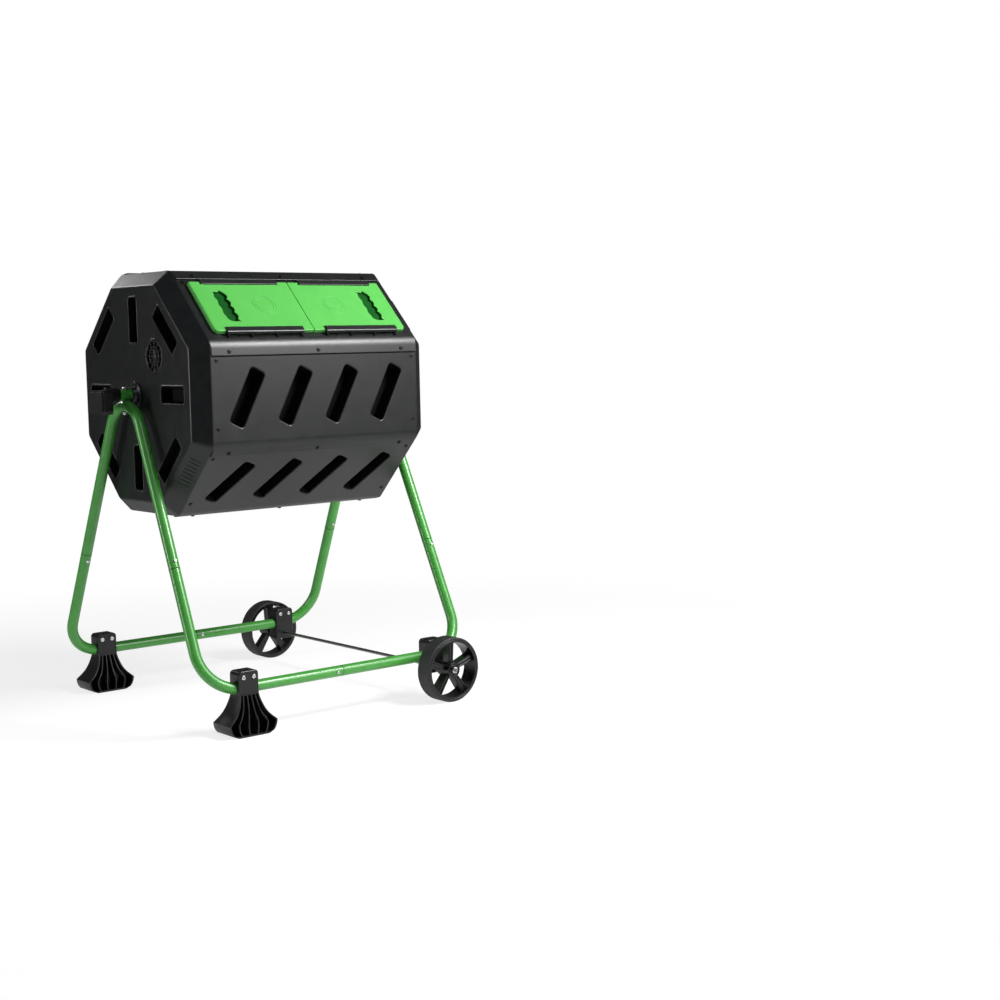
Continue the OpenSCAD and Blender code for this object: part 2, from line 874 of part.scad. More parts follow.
module wheel(sy) {
    web = 6;
    spokes = 5;
    color("#141414") translate([wheel_x, sy * (wheel_in_y + wheel_w / 2), wheel_r])
        rotate([90, 0, 0]) difference() {
            union() {
                rotate_extrude() polygon([
                    [wheel_r - rim_t, -wheel_w / 2], [wheel_r - 3, -wheel_w / 2],
                    [wheel_r, -wheel_w / 2 + 3], [wheel_r, wheel_w / 2 - 3],
                    [wheel_r - 3, wheel_w / 2], [wheel_r - rim_t, wheel_w / 2]
                ]);
                cylinder(r = wheel_hub_r, h = wheel_w, center = true);
                for (i = [0:spokes - 1]) {
                    rotate(90 + 360 * i / spokes) linear_extrude(22, center = true)
                        polygon([
                            [wheel_hub_r - 3, -web], [wheel_r - rim_t + 1, -1.6 * web],
                            [wheel_r - rim_t + 1, 1.6 * web], [wheel_hub_r - 3, web]
                        ]);
                }
            }
            cylinder(r = rod_r + run_gap, h = 2 * wheel_w, center = true);
        }
}

module wheel_front() {
    wheel(-1);
}

module wheel_rear() {
    wheel(1);
}

module wheel_nuts() {
    color("silver") for (sy = [-1, 1]) {
        translate([wheel_x, sy * (wheel_out_y + wheel_gap), wheel_r])
            rotate([-90 * sy, 0, 0]) difference() {
                hex(14, 7);
                translate([0, 0, -1]) cylinder(r = rod_r + 0.05, h = 10);
            }
    }
}

end_cap_left();
end_cap_right();
side_panel(0);  // panel_top
panel_door();
side_panel(2);  // panel_front
side_panel(3);  // panel_lower_front
side_panel(4);  // panel_bottom
side_panel(5);  // panel_lower_rear
side_panel(6);  // panel_rear
side_panel(7);  // panel_upper_rear
divider();
hub_left();
hub_right();
vent_left();
vent_right();
rail(1);  // rail_upper
rail(-1);  // rail_lower
panel_screws();
rail_screws();
door_left();
door_right();
axle_tube();
axle_block_left();
axle_block_right();
leg_tube_left();
leg_tube_right();
corner_front_left();
corner_rear_left();
corner_front_right();
corner_rear_right();
axle_bolts();
axle_nuts();
tube_bolts();
foot_front();
foot_rear();
foot_bolts();
wheel_bracket_front();
wheel_bracket_rear();
bracket_bolts();
wheel_rod();
wheel_front();
wheel_rear();
wheel_nuts();
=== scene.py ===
import json
import math

import bmesh
import bpy
from mathutils import Matrix, Vector
from mathutils.geometry import delaunay_2d_cdt


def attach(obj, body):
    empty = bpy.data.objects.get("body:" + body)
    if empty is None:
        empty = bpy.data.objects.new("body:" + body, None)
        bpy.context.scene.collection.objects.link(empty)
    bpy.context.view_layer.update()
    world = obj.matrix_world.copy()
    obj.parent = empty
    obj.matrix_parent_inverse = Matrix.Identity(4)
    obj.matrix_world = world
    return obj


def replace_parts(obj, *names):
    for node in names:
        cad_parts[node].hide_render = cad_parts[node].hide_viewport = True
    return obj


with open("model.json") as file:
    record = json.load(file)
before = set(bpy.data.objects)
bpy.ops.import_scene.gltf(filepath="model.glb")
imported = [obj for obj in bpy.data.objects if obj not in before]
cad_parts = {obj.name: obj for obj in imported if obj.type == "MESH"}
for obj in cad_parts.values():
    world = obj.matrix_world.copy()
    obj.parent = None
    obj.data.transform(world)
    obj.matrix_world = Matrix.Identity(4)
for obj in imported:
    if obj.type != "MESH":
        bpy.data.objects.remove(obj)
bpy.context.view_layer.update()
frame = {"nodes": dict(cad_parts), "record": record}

nodes = frame["nodes"]

# ---------------------------------------------------------------- sizes, in metres
AXLE_Z = 0.745
PLATE_OUT = 0.277
FLANGE_OUT = 0.280
WALL = 0.003
HALF_LEN = 0.279
FACE_X = 0.317
CAP_FACE_HALF = 0.245
CAP_RIM_X = 0.282
CAP_RIM_HALF = 0.277
HALF_SIDE = FLANGE_OUT * math.tan(math.radians(22.5))
FLANGE_WIDTH = 0.031
POCKET_DEPTH = 0.038
SLOT_DEPTH = 0.024
POCKET_LEAN = math.radians(27)
POCKET_PITCH = 0.127
POCKET_SHIFT = 0.008
DOOR_MID = 0.011
DOOR_OUT = 0.2615
DOOR_BOTTOM = PLATE_OUT + 0.0005
DOOR_TOP = DOOR_BOTTOM + 0.010
RAIL_MID = 0.131
TUBE_R = 0.0127
BAR_Z = 0.103
BAR_Y = 0.331
FLOOR_GLOW = 0.77
FOOT_X = -0.258
WHEEL_X = 0.266
WHEEL_R = 0.077
WHEEL_MID_Y = 0.393
RIM_RING_R = 0.0700
PANEL_START = 0.1093        # where a panel's flat begins, from the side's middle
WINDOW_LEN, WINDOW_WIDTH, WINDOW_MID = 0.2175, 0.130, 0.1267
FLANGE_SCREW_X, FLANGE_SCREW_IN = 0.235, 0.022
END_SCREW_X, END_SCREW_Y = 0.267, 0.075
CLAMP_TOP, BELL_TOP = 0.143, 0.0945
UP, ALONG = (0, 0, 1), (1, 0, 0)


# ---------------------------------------------------------------- small helpers
def side_place(k):
    """Carries a side's own frame (Z outwards, -Y towards the next side) onto side k."""
    return Matrix.Translation((0, 0, AXLE_Z)) @ Matrix.Rotation(math.radians(45 * k), 4, "X")


def end_place(side):
    """Carries the -X end's frame onto either end."""
    return Matrix.Identity(4) if side < 0 else Matrix.Rotation(math.pi, 4, "Z")


def rounded_loop(length, width, radius, steps=6):
    """Points round a rectangle with rounded corners, anticlockwise."""
    points = []
    for q, (sx, sy) in enumerate(((1, 1), (-1, 1), (-1, -1), (1, -1))):
        cx, cy = sx * (length / 2 - radius), sy * (width / 2 - radius)
        for i in range(steps + 1):
            a = math.radians(90 * q + 90 * i / steps)
            points.append((cx + radius * math.cos(a), cy + radius * math.sin(a)))
    return points


def eight_sided(half, radius, steps=4):
    """Points round an octagon with rounded corners, anticlockwise; the first side faces +X."""
    points = []
    reach = (half - radius) / math.cos(math.radians(22.5))
    for k in range(8):
        a = math.radians(22.5 + 45 * k)
        cx, cy = reach * math.cos(a), reach * math.sin(a)
        for i in range(steps + 1):
            b = a + math.radians(-22.5 + 45 * i / steps)
            points.append((cx + radius * math.cos(b), cy + radius * math.sin(b)))
    return points


def ring(bm, points):
    return [bm.verts.new(p) for p in points]


def skin(bm, rings, smooth=True):
    """Faces between successive rings of the same count."""
    faces = []
    for a, b in zip(rings, rings[1:]):
        n = len(a)
        for i in range(n):
            j = (i + 1) % n
            f = bm.faces.new((a[i], a[j], b[j], b[i]))
            f.smooth = smooth
            faces.append(f)
    return faces


def flat_with_holes(bm, outer, holes):
    """Flat faces between an outer loop of verts and hole loops of verts."""
    loops = [outer] + holes
    verts = [v for loop in loops for v in loop]
    index = {v: i for i, v in enumerate(verts)}
    coords = [Vector((v.co.x, v.co.y)) for v in verts]
    edges = [(index[l[i]], index[l[(i + 1) % len(l)]]) for l in loops for i in range(len(l))]
    _, _, faces, _, _, _ = delaunay_2d_cdt(coords, edges, [], 0, 1e-7)

    def inside(p, loop):
        hit = False
        for i in range(len(loop)):
            a, b = loop[i].co, loop[(i + 1) % len(loop)].co
            if (a.y > p.y) != (b.y > p.y):
                if p.x < (b.x - a.x) * (p.y - a.y) / (b.y - a.y) + a.x:
                    hit = not hit
        return hit

    for f in faces:
        if max(f) >= len(verts):
            continue
        mid = sum((coords[i] for i in f), Vector((0, 0))) / len(f)
        if inside(mid, outer) and not any(inside(mid, h) for h in holes):
            face = bm.faces.new([verts[i] for i in f])
            face.smooth = False


def bake(obj):
    """Applies the live modifiers of a piece before it rides."""
    bpy.context.view_layer.update()
    evaluated = obj.evaluated_get(bpy.context.evaluated_depsgraph_get())
    mesh = bpy.data.meshes.new_from_object(evaluated)
    obj.modifiers.clear()
    obj.data = mesh
    return obj


def link(name, mesh):
    obj = bpy.data.objects.new(name, mesh)
    bpy.context.scene.collection.objects.link(obj)
    return obj


def settle(obj, body, finish=None, place=None, stands_for=()):
    """Gives a finished piece its finish, its place and its body."""
    if finish is not None:
        obj.data.materials.clear()
        obj.data.materials.append(finish)
    if place is not None:
        obj.data.transform(place)
    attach(obj, body)
    if stands_for:
        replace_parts(obj, *stands_for)
    return obj


def from_bmesh(name, bm):
    bmesh.ops.remove_doubles(bm, verts=bm.verts, dist=1e-6)
    mesh = bpy.data.meshes.new(name)
    bm.to_mesh(mesh)
    bm.free()
    return link(name, mesh)


def outward(bm):
    bmesh.ops.remove_doubles(bm, verts=bm.verts, dist=1e-6)
    bmesh.ops.recalc_face_normals(bm, faces=bm.faces)


def rounded(obj, width, segments, angle):
    rounding = obj.modifiers.new("rounding", "BEVEL")
    rounding.width = width
    rounding.segments = segments
    rounding.limit_method = "ANGLE"
    rounding.angle_limit = math.radians(angle)
    return rounding


def weighted(obj):
    """Keeps flat faces flat and rounded edges round, then applies the modifiers."""
    obj.modifiers.new("weights", "WEIGHTED_NORMAL").keep_sharp = True
    return bake(obj)


def stood(place, at, out, way):
    """A detail's position, facing and run, carried from a piece's own frame."""
    turn = place.to_3x3()
    return place @ Vector(at), turn @ Vector(out), turn @ Vector(way)


def softened(name, body, finish, width, segments=3):
    """A CAD node's own shape with its corners rounded, in place of the node."""
    bm = bmesh.new()
    bm.from_mesh(nodes[name].data)
    bmesh.ops.remove_doubles(bm, verts=bm.verts, dist=2e-6)
    bmesh.ops.dissolve_limit(bm, angle_limit=math.radians(0.6), verts=bm.verts, edges=bm.edges)
    mesh = bpy.data.meshes.new("soft_" + name)
    bm.to_mesh(mesh)
    bm.free()
    obj = link("soft_" + name, mesh)
    obj.data.materials.clear()
    rounded(obj, width, segments, 28).miter_outer = "MITER_ARC"
    bake(obj)
    obj.data.shade_smooth()
    obj.data.set_sharp_from_angle(angle=math.radians(32))
    weighted(obj)
    return settle(obj, body, finish, stands_for=[name])


def lathe(bm, profile, steps=64, close=False):
    """Turns a profile of (radius, height) round the Z axis."""
    rings = []
    for r, z in profile:
        if r < 1e-6:
            rings.append([bm.verts.new((0, 0, z))])
        else:
            rings.append(ring(bm, [(r * math.cos(2 * math.pi * i / steps),
                                    r * math.sin(2 * math.pi * i / steps), z)
                                   for i in range(steps)]))
    if close:
        rings.append(rings[0])
    for a, b in zip(rings, rings[1:]):
        if len(a) == 1 or len(b) == 1:
            hub, rim = (a, b) if len(a) == 1 else (b, a)
            for i in range(steps):
                bm.faces.new((hub[0], rim[i], rim[(i + 1) % steps])).smooth = True
        else:
            skin(bm, [a, b])


# ---------------------------------------------------------------- repeated details
def new_tree(name, sizes):
    """An empty geometry tree with named size inputs. Returns it, its ends and its sockets."""
    tree = bpy.data.node_groups.new(name, "GeometryNodeTree")
    tree.interface.new_socket("Geometry", in_out="INPUT", socket_type="NodeSocketGeometry")
    keys = {}
    for label, default in sizes.items():
        kind = "NodeSocketInt" if isinstance(default, int) else "NodeSocketFloat"
        socket = tree.interface.new_socket(label, in_out="INPUT", socket_type=kind)
        socket.default_value = default
        keys[label] = socket.identifier
    finish = tree.interface.new_socket("Finish", in_out="INPUT", socket_type="NodeSocketMaterial")
    keys["Finish"] = finish.identifier
    tree.interface.new_socket("Geometry", in_out="OUTPUT", socket_type="NodeSocketGeometry")
    start = tree.nodes.new("NodeGroupInput")
    end = tree.nodes.new("NodeGroupOutput")
    return tree, start, end, keys


def add(tree, kind, inputs=None, **settings):
    node = tree.nodes.new(kind)
    for key, value in settings.items():
        setattr(node, key, value)
    for key, value in (inputs or {}).items():
        if isinstance(value, bpy.types.NodeSocket):
            tree.links.new(value, node.inputs[key])
        else:
            node.inputs[key].default_value = value
    return node


def times(tree, a, b, operation="MULTIPLY"):
    return add(tree, "ShaderNodeMath", {0: a, 1: b}, operation=operation).outputs[0]


def upright(tree, distance):
    return add(tree, "ShaderNodeCombineXYZ", {"Z": distance}).outputs[0]


def stored(tree, name, kind):
    return add(tree, "GeometryNodeInputNamedAttribute", {"Name": name}, data_type=kind).outputs[0]


def close_tree(tree, start, end, detail, smooth=True):
    stood = add(tree, "GeometryNodeInstanceOnPoints",
                {"Points": start.outputs["Geometry"], "Instance": detail,
                 "Rotation": stored(tree, "turn", "QUATERNION"),
                 "Scale": stored(tree, "stretch", "FLOAT_VECTOR")})
    real = add(tree, "GeometryNodeRealizeInstances", {"Geometry": stood.outputs[0]})
    shaded = add(tree, "GeometryNodeSetShadeSmooth",
                 {"Geometry": real.outputs[0], "Shade Smooth": smooth})
    painted = add(tree, "GeometryNodeSetMaterial",
                  {"Geometry": shaded.outputs[0], "Material": start.outputs["Finish"]})
    tree.links.new(painted.outputs[0], end.inputs[0])


def fastener_tree():
    """A screw or bolt head: a stepped dome on a washer, with a sunk drive in its top."""
    tree, start, end, keys = new_tree("fasteners", {
        "Sides": 20, "Radius": 0.0036, "Height": 0.0018, "Crown": 0.8, "Drive": 0.5,
        "Drive depth": 0.0008, "Washer radius": 0.0, "Washer height": 0.0005})
    size = start.outputs
    disc = add(tree, "GeometryNodeMeshCircle",
               {"Vertices": size["Sides"], "Radius": size["Radius"]}, fill_type="NGON")

    def push(geometry, selection, distance, scale):
        inputs = {"Mesh": geometry, "Offset Scale": distance, "Offset": (0, 0, 1)}
        if selection is not None:
            inputs["Selection"] = selection
        out = add(tree, "GeometryNodeExtrudeMesh", inputs, mode="FACES")
        shaped = add(tree, "GeometryNodeScaleElements",
                     {"Geometry": out.outputs["Mesh"], "Selection": out.outputs["Top"],
                      "Scale": scale})
        return shaped.outputs[0], out.outputs["Top"]

    geometry, top = push(disc.outputs[0], None, times(tree, size["Height"], 0.55), 1.0)
    geometry, top = push(geometry, top, times(tree, size["Height"], 0.28), 0.93)
    geometry, top = push(geometry, top, times(tree, size["Height"], 0.17), size["Crown"])
    geometry, top = push(geometry, top, 0.0, size["Drive"])
    geometry, top = push(geometry, top, times(tree, size["Drive depth"], -1.0), 0.85)
    washer = add(tree, "GeometryNodeMeshCylinder",
                 {"Vertices": 24, "Radius": size["Washer radius"], "Depth": size["Washer height"]})
    lifted = add(tree, "GeometryNodeTransform",
                 {"Geometry": washer.outputs["Mesh"],
                  "Translation": upright(tree, times(tree, size["Washer height"], 0.5))})
    both = add(tree, "GeometryNodeJoinGeometry")
    tree.links.new(geometry, both.inputs[0])
    tree.links.new(lifted.outputs[0], both.inputs[0])
    close_tree(tree, start, end, both.outputs[0], smooth=False)
    return tree, keys


def rib_tree():
    """A raised rib with a rounded back, lying along its row direction."""
    tree, start, end, keys = new_tree("ribs", {
        "Length": 0.03, "Width": 0.002, "Height": 0.001, "Taper": 1.0})
    size = start.outputs
    half = times(tree, size["Length"], 0.5)
    line = add(tree, "GeometryNodeCurvePrimitiveLine",
               {"Start": add(tree, "ShaderNodeCombineXYZ", {"X": times(tree, half, -1.0)}).outputs[0],
                "End": add(tree, "ShaderNodeCombineXYZ", {"X": half}).outputs[0]})
    level = add(tree, "GeometryNodeSetCurveNormal", {"Curve": line.outputs[0]}, mode="Z_UP")
    fine = add(tree, "GeometryNodeResampleCurve", {"Curve": level.outputs[0], "Count": 9})
    share = add(tree, "GeometryNodeSplineParameter").outputs["Factor"]
    swell = add(tree, "ShaderNodeMapRange", {"Value": share, "To Min": 1.0, "To Max": size["Taper"]})
    round_bar = add(tree, "GeometryNodeCurvePrimitiveCircle", {"Resolution": 16, "Radius": 1.0})
    sized = add(tree, "GeometryNodeTransform",
                {"Geometry": round_bar.outputs[0],
                 "Scale": add(tree, "ShaderNodeCombineXYZ",
                              {"X": times(tree, size["Width"], 0.5), "Y": size["Height"],
                               "Z": 1.0}).outputs[0]})
    swept = add(tree, "GeometryNodeCurveToMesh",
                {"Curve": fine.outputs[0], "Profile Curve": sized.outputs[0],
                 "Scale": swell.outputs[0], "Fill Caps": True})
    close_tree(tree, start, end, swept.outputs[0])
    return tree, keys


FASTENERS = fastener_tree()
RIBS = rib_tree()


def scatter(name, detail, points, finish, body, slot, stands_for=(), **sizes):
    """Stands a detail at each point: (position, facing, along, and its stretch along)."""
    tree, keys = detail
    mesh = bpy.data.meshes.new(name)
    mesh.from_pydata([tuple(p[0]) for p in points], [], [])
    turns = []
    for p in points:
        z, x = Vector(p[1]).normalized(), Vector(p[2]).normalized()
        turns += list(Matrix((x, z.cross(x), z)).transposed().to_quaternion())
    mesh.attributes.new("turn", "QUATERNION", "POINT").data.foreach_set("value", turns)
    layer = mesh.attributes.new("stretch", "FLOAT_VECTOR", "POINT")
    layer.data.foreach_set("vector", [c for p in points for c in ((*p, 1)[3], 1, 1)])
    obj = link(name, mesh)
    modifier = obj.modifiers.new("details", "NODES")
    modifier.node_group = tree
    modifier[keys["Finish"]] = finish
    for label, value in sizes.items():
        modifier[keys[label.replace("_", " ").capitalize()]] = value
    bake(obj)
    return settle(obj, body, stands_for=stands_for)


# ---------------------------------------------------------------- finishes
def new_finish(name):
    material = bpy.data.materials.new(name)
    material.use_nodes = True
    tree = material.node_tree
    shader = tree.nodes["Principled BSDF"]
    where = tree.nodes.new("ShaderNodeTexCoord").outputs["Object"]
    return material, tree, shader, where


def noise(tree, where, scale, detail=3.0, roughness=0.5):
    node = tree.nodes.new("ShaderNodeTexNoise")
    node.inputs["Scale"].default_value = scale
    node.inputs["Detail"].default_value = detail
    node.inputs["Roughness"].default_value = roughness
    tree.links.new(where, node.inputs["Vector"])
    return node.outputs["Fac"]


def spread(tree, value, low, high, frm=0.3, to=0.7):
    """Maps a value between two numbers."""
    node = tree.nodes.new("ShaderNodeMapRange")
    for socket, number in zip(("From Min", "From Max", "To Min", "To Max"), (frm, to, low, high)):
        node.inputs[socket].default_value = number
    tree.links.new(value, node.inputs["Value"])
    return node.outputs["Result"]


def blend_colours(tree, share, first, second):
    node = tree.nodes.new("ShaderNodeMix")
    node.data_type = "RGBA"
    tree.links.new(share, node.inputs["Factor"])
    node.inputs["A"].default_value = (*first, 1)
    node.inputs["B"].default_value = (*second, 1)
    return node.outputs["Result"]


def bump(tree, height, strength, distance, under=None):
    node = tree.nodes.new("ShaderNodeBump")
    node.inputs["Strength"].default_value = strength
    node.inputs["Distance"].default_value = distance
    tree.links.new(height, node.inputs["Height"])
    if under is not None:
        tree.links.new(under, node.inputs["Normal"])
    return node.outputs["Normal"]


def moulded_plastic(name, dark, light, roughness, grain, depth):
    """Plastic with a fine moulded grain, faint mottling and uneven gloss."""
    material, tree, shader, where = new_finish(name)
    mottle = noise(tree, where, 38, 5, 0.65)
    fine = noise(tree, where, grain, 2, 0.6)
    broad = noise(tree, where, 4.5, 2)
    tree.links.new(blend_colours(tree, spread(tree, mottle, 0, 1), dark, light),
                   shader.inputs["Base Color"])
    tree.links.new(spread(tree, mottle, roughness - 0.04, roughness + 0.04),
                   shader.inputs["Roughness"])
    under = bump(tree, broad, 0.10, 0.003)
    tree.links.new(bump(tree, fine, depth, 0.0006, under), shader.inputs["Normal"])
    return material


def powder_coat(name, dark, light, roughness):
    """Glossy powder coat with a faint orange peel."""
    material, tree, shader, where = new_finish(name)
    patches = noise(tree, where, 26, 4, 0.6)
    peel = noise(tree, where, 420, 1.5)
    tree.links.new(blend_colours(tree, spread(tree, patches, 0, 1), dark, light),
                   shader.inputs["Base Color"])
    tree.links.new(spread(tree, patches, roughness - 0.04, roughness + 0.05),
                   shader.inputs["Roughness"])
    tree.links.new(bump(tree, peel, 0.12, 0.0005), shader.inputs["Normal"])
    shader.inputs["Coat Weight"].default_value = 0.35
    shader.inputs["Coat Roughness"].default_value = 0.12
    return material


def plated_steel(name, dark, light, roughness):
    material, tree, shader, where = new_finish(name)
    patches = noise(tree, where, 160, 3)
    scratches = noise(tree, where, 900, 2)
    tree.links.new(blend_colours(tree, spread(tree, patches, 0, 1), dark, light),
                   shader.inputs["Base Color"])
    tree.links.new(spread(tree, scratches, roughness - 0.08, roughness + 0.1),
                   shader.inputs["Roughness"])
    tree.links.new(bump(tree, scratches, 0.15, 0.0002), shader.inputs["Normal"])
    shader.inputs["Metallic"].default_value = 1.0
    return material


drum_plastic = moulded_plastic("drum_plastic", (0.0060, 0.0064, 0.0068), (0.0095, 0.0100, 0.0104),
                               0.36, 900, 0.10)
cap_plastic = moulded_plastic("end_cap_plastic", (0.0050, 0.0057, 0.0063), (0.0078, 0.0087, 0.0097),
                              0.36, 900, 0.10)
inner_plastic = moulded_plastic("inner_plastic", (0.010, 0.010, 0.011), (0.015, 0.015, 0.016),
                                0.55, 700, 0.1)
hub_plastic = moulded_plastic("hub_plastic", (0.004, 0.004, 0.0045), (0.007, 0.007, 0.0075),
                              0.36, 700, 0.08)
vent_plastic = moulded_plastic("vent_plastic", (0.004, 0.004, 0.0045), (0.008, 0.008, 0.0085),
                               0.36, 700, 0.08)
rail_plastic = moulded_plastic("rail_plastic", (0.006, 0.0065, 0.007), (0.010, 0.0105, 0.011),
                               0.38, 800, 0.10)
block_plastic = moulded_plastic("block_plastic", (0.009, 0.009, 0.010), (0.014, 0.014, 0.015),
                                0.36, 800, 0.10)
foot_plastic = moulded_plastic("foot_plastic", (0.003, 0.003, 0.0034), (0.005, 0.005, 0.0055),
                               0.34, 700, 0.10)
wheel_plastic = moulded_plastic("wheel_plastic", (0.003, 0.003, 0.0034), (0.004, 0.004, 0.0045),
                                0.30, 700, 0.10)
tread_plastic = moulded_plastic("tread_plastic", (0.014, 0.015, 0.015), (0.024, 0.025, 0.025),
                                0.62, 520, 0.6)
door_plastic = moulded_plastic("door_plastic", (0.088, 0.44, 0.073), (0.098, 0.475, 0.081),
                               0.42, 900, 0.08)
# dark green with little specular: painted shade for the walls and floor of the door's finger recess
grip_painted_shade = moulded_plastic("grip_painted_shade", (0.002, 0.065, 0.005), (0.004, 0.090, 0.009),
                               0.60, 700, 0.10)
grip_painted_shade.node_tree.nodes["Principled BSDF"].inputs["Specular IOR Level"].default_value = 0.12
# near black with hardly any specular: painted shade for the deep walls and floors of the panel pockets
# and end cap slots, and painted shadow strips along the flange edges
pocket_painted_shade = moulded_plastic("pocket_painted_shade", (0.0012, 0.0013, 0.0015), (0.0024, 0.0025, 0.0028),
                                 0.72, 700, 0.2)
pocket_painted_shade.node_tree.nodes["Principled BSDF"].inputs["Specular IOR Level"].default_value = 0.12
green_tube = powder_coat("green_tube", (0.050, 0.300, 0.036), (0.060, 0.345, 0.046), 0.33)
zinc_steel = plated_steel("zinc_steel", (0.58, 0.58, 0.57), (0.74, 0.74, 0.72), 0.34)
black_screw = plated_steel("black_screw", (0.020, 0.020, 0.021), (0.040, 0.040, 0.042), 0.36)
dark_steel = plated_steel("dark_steel", (0.16, 0.16, 0.155), (0.24, 0.24, 0.23), 0.34)
# a darkened copy of the tube green: painted shade for the fine gaps at the tube joints
tube_joint_painted_shade = moulded_plastic("tube_joint_painted_shade", (0.004, 0.012, 0.004), (0.007, 0.020, 0.006),
                            0.60, 700, 0.2)

FINISHES = {
    "drum_plastic": drum_plastic, "end_cap_plastic": cap_plastic, "inner_plastic": inner_plastic,
    "hub_plastic": hub_plastic, "vent_plastic": vent_plastic, "rail_plastic": rail_plastic,
    "block_plastic": block_plastic, "foot_plastic": foot_plastic, "wheel_plastic": wheel_plastic,
    "door_plastic": door_plastic, "green_tube": green_tube, "zinc_steel": zinc_steel,
    "black_screw": black_screw, "dark_steel": dark_steel,
}
for part in frame["record"]["subparts"]:
    mesh = nodes[part["node"]].data
    finish = FINISHES[part["material_slot"]]
    if mesh.materials:
        for i in range(len(mesh.materials)):
            mesh.materials[i] = finish
    else:
        mesh.materials.append(finish)


# ---------------------------------------------------------------- recessed pockets
def pocket_rings(bm, centre, lean, length, width, radius, top, depth, lip, raised=0.0,
                 floor_lip=0.004, draft=0.0025):
    """A moulded pocket: rounded rim, drafted wall, rounded floor. Returns its rim ring."""
    turn = Matrix.Rotation(lean, 2)
    rings = []

    def level(grow, z):
        points = rounded_loop(width + 2 * grow, length + 2 * grow, max(radius + grow, 0.001))
        rings.append(ring(bm, [(*(turn @ Vector(p) + Vector(centre)), z) for p in points]))

    if raised:
        level(lip + 0.0024, top)
        level(lip + 0.0016, top + 0.7 * raised)
        level(lip + 0.0008, top + raised)
    for i in range(5):
        a = math.radians(90 * i / 4)
        level(lip * (1 - math.sin(a)), top + raised - lip * (1 - math.cos(a)))
    level(-draft, top - depth + floor_lip)
    for i in range(1, 4):
        a = math.radians(90 * i / 3)
        level(-draft - floor_lip * (1 - math.cos(a)), top - depth + floor_lip * (1 - math.sin(a)))
    skin(bm, rings[:-4])
    # the deep wall and floor take finish slot 1, the near black painted shade of the pocket's depth
    deep = skin(bm, rings[-5:])
    deep.append(bm.faces.new(rings[-1]))
    for f in deep:
        f.material_index = 1
    return rings[0]


def face_up(bm):
    bmesh.ops.remove_doubles(bm, verts=bm.verts, dist=1e-6)
    bmesh.ops.recalc_face_normals(bm, faces=bm.faces)
    if max(bm.faces, key=lambda f: f.calc_area()).normal.z < 0:
        bmesh.ops.reverse_faces(bm, faces=bm.faces)


def walled(name, bm, finishes):
    """Turns an outer surface into a moulded wall with softened free edges."""
    face_up(bm)
    obj = from_bmesh(name, bm)
    for finish in finishes:
        obj.data.materials.append(finish)
    thick = obj.modifiers.new("wall", "SOLIDIFY")
    thick.thickness = WALL
    thick.offset = -1
    thick.use_even_offset = True
    rounded(obj, 0.0008, 2, 60)
    return weighted(obj)


# ---------------------------------------------------------------- drum sides
def fold_profile(radius, turn=math.radians(40.5)):
    """Outer surface over the fold and down the slightly tilted flange, as (y, z)."""
    s = math.sqrt(0.5)

    def beyond(n, t):
        return Vector((-(n + t) * s, (n - t) * s))

    tip = -HALF_SIDE + FLANGE_WIDTH
    last = beyond(FLANGE_OUT, tip - 0.0015)
    corner = last.x + (PLATE_OUT - last.y) / math.tan(turn)
    cy, cz = corner + radius * math.tan(turn / 2), PLATE_OUT - radius
    points = []
    for i in range(11):
        a = math.pi / 2 + turn * i / 10
        points.append((cy + radius * math.cos(a), cz + radius * math.sin(a)))
    points.append(tuple(last))
    for i in range(1, 4):
        a = math.radians(90 * i / 3)
        points.append(tuple(beyond(FLANGE_OUT - 0.0013 * (1 - math.cos(a)),
                                   tip - 0.0015 + 0.0015 * math.sin(a))))
    return points


def side_panel(k, name, windows=False):
    """One side of the drum: a moulded panel with pockets or windows and a rolled fold."""
    bm = bmesh.new()
    profile = fold_profile(0.036)
    rim_y = profile[0][0]
    corners = [(-HALF_LEN, rim_y), (HALF_LEN, rim_y),
               (HALF_LEN, PANEL_START), (-HALF_LEN, PANEL_START)]
    outer = ring(bm, [(x, y, PLATE_OUT) for x, y in corners])
    holes = []
    if windows:
        for s in (-1, 1):
            points = rounded_loop(WINDOW_LEN, WINDOW_WIDTH, 0.010)
            holes.append(ring(bm, [(s * WINDOW_MID + x, y - DOOR_MID, PLATE_OUT) for x, y in points]))
    else:
        for i in range(4):
            centre = ((i - 1.5) * POCKET_PITCH, -POCKET_SHIFT)
            holes.append(pocket_rings(bm, centre, -POCKET_LEAN, 0.135, 0.038, 0.008,
                                      PLATE_OUT, POCKET_DEPTH, 0.0030, draft=0.0018))
    flat_with_holes(bm, outer, holes)
    rows = [[outer[0], outer[1]]]
    for y, z in profile[1:]:
        rows.append(ring(bm, [(-HALF_LEN, y, z), (HALF_LEN, y, z)]))
    for a, b in zip(rows, rows[1:]):
        f = bm.faces.new((a[0], b[0], b[1], a[1]))
        f.smooth = True
    # finish slot 1 is the painted shade inside the pockets
    obj = walled(name, bm, (drum_plastic, pocket_painted_shade))
    return settle(obj, "drum", None, side_place(k), [name.replace("skin_", "panel_")])


def seam_shadow_lines():
    """A thin dark strip of painted shadow along the free edge of each flange, where the narrow gap lies.
    """
    points = []
    for k in range(8):
        at = (0, HALF_SIDE - FLANGE_WIDTH - 0.0006, PLATE_OUT)
        points.append(stood(side_place(k), at, UP, ALONG))
    scatter("flange_gap_shadows", RIBS, points, pocket_painted_shade, "drum", "drum_plastic",
            length=2 * HALF_LEN - 0.002, width=0.0036, height=0.0005)


seam_shadow_lines()
SIDES = ["top", "door", "front", "lower_front", "bottom", "lower_rear", "rear", "upper_rear"]
for k, side in enumerate(SIDES):
    side_panel(k, "skin_" + side, windows=side == "door")


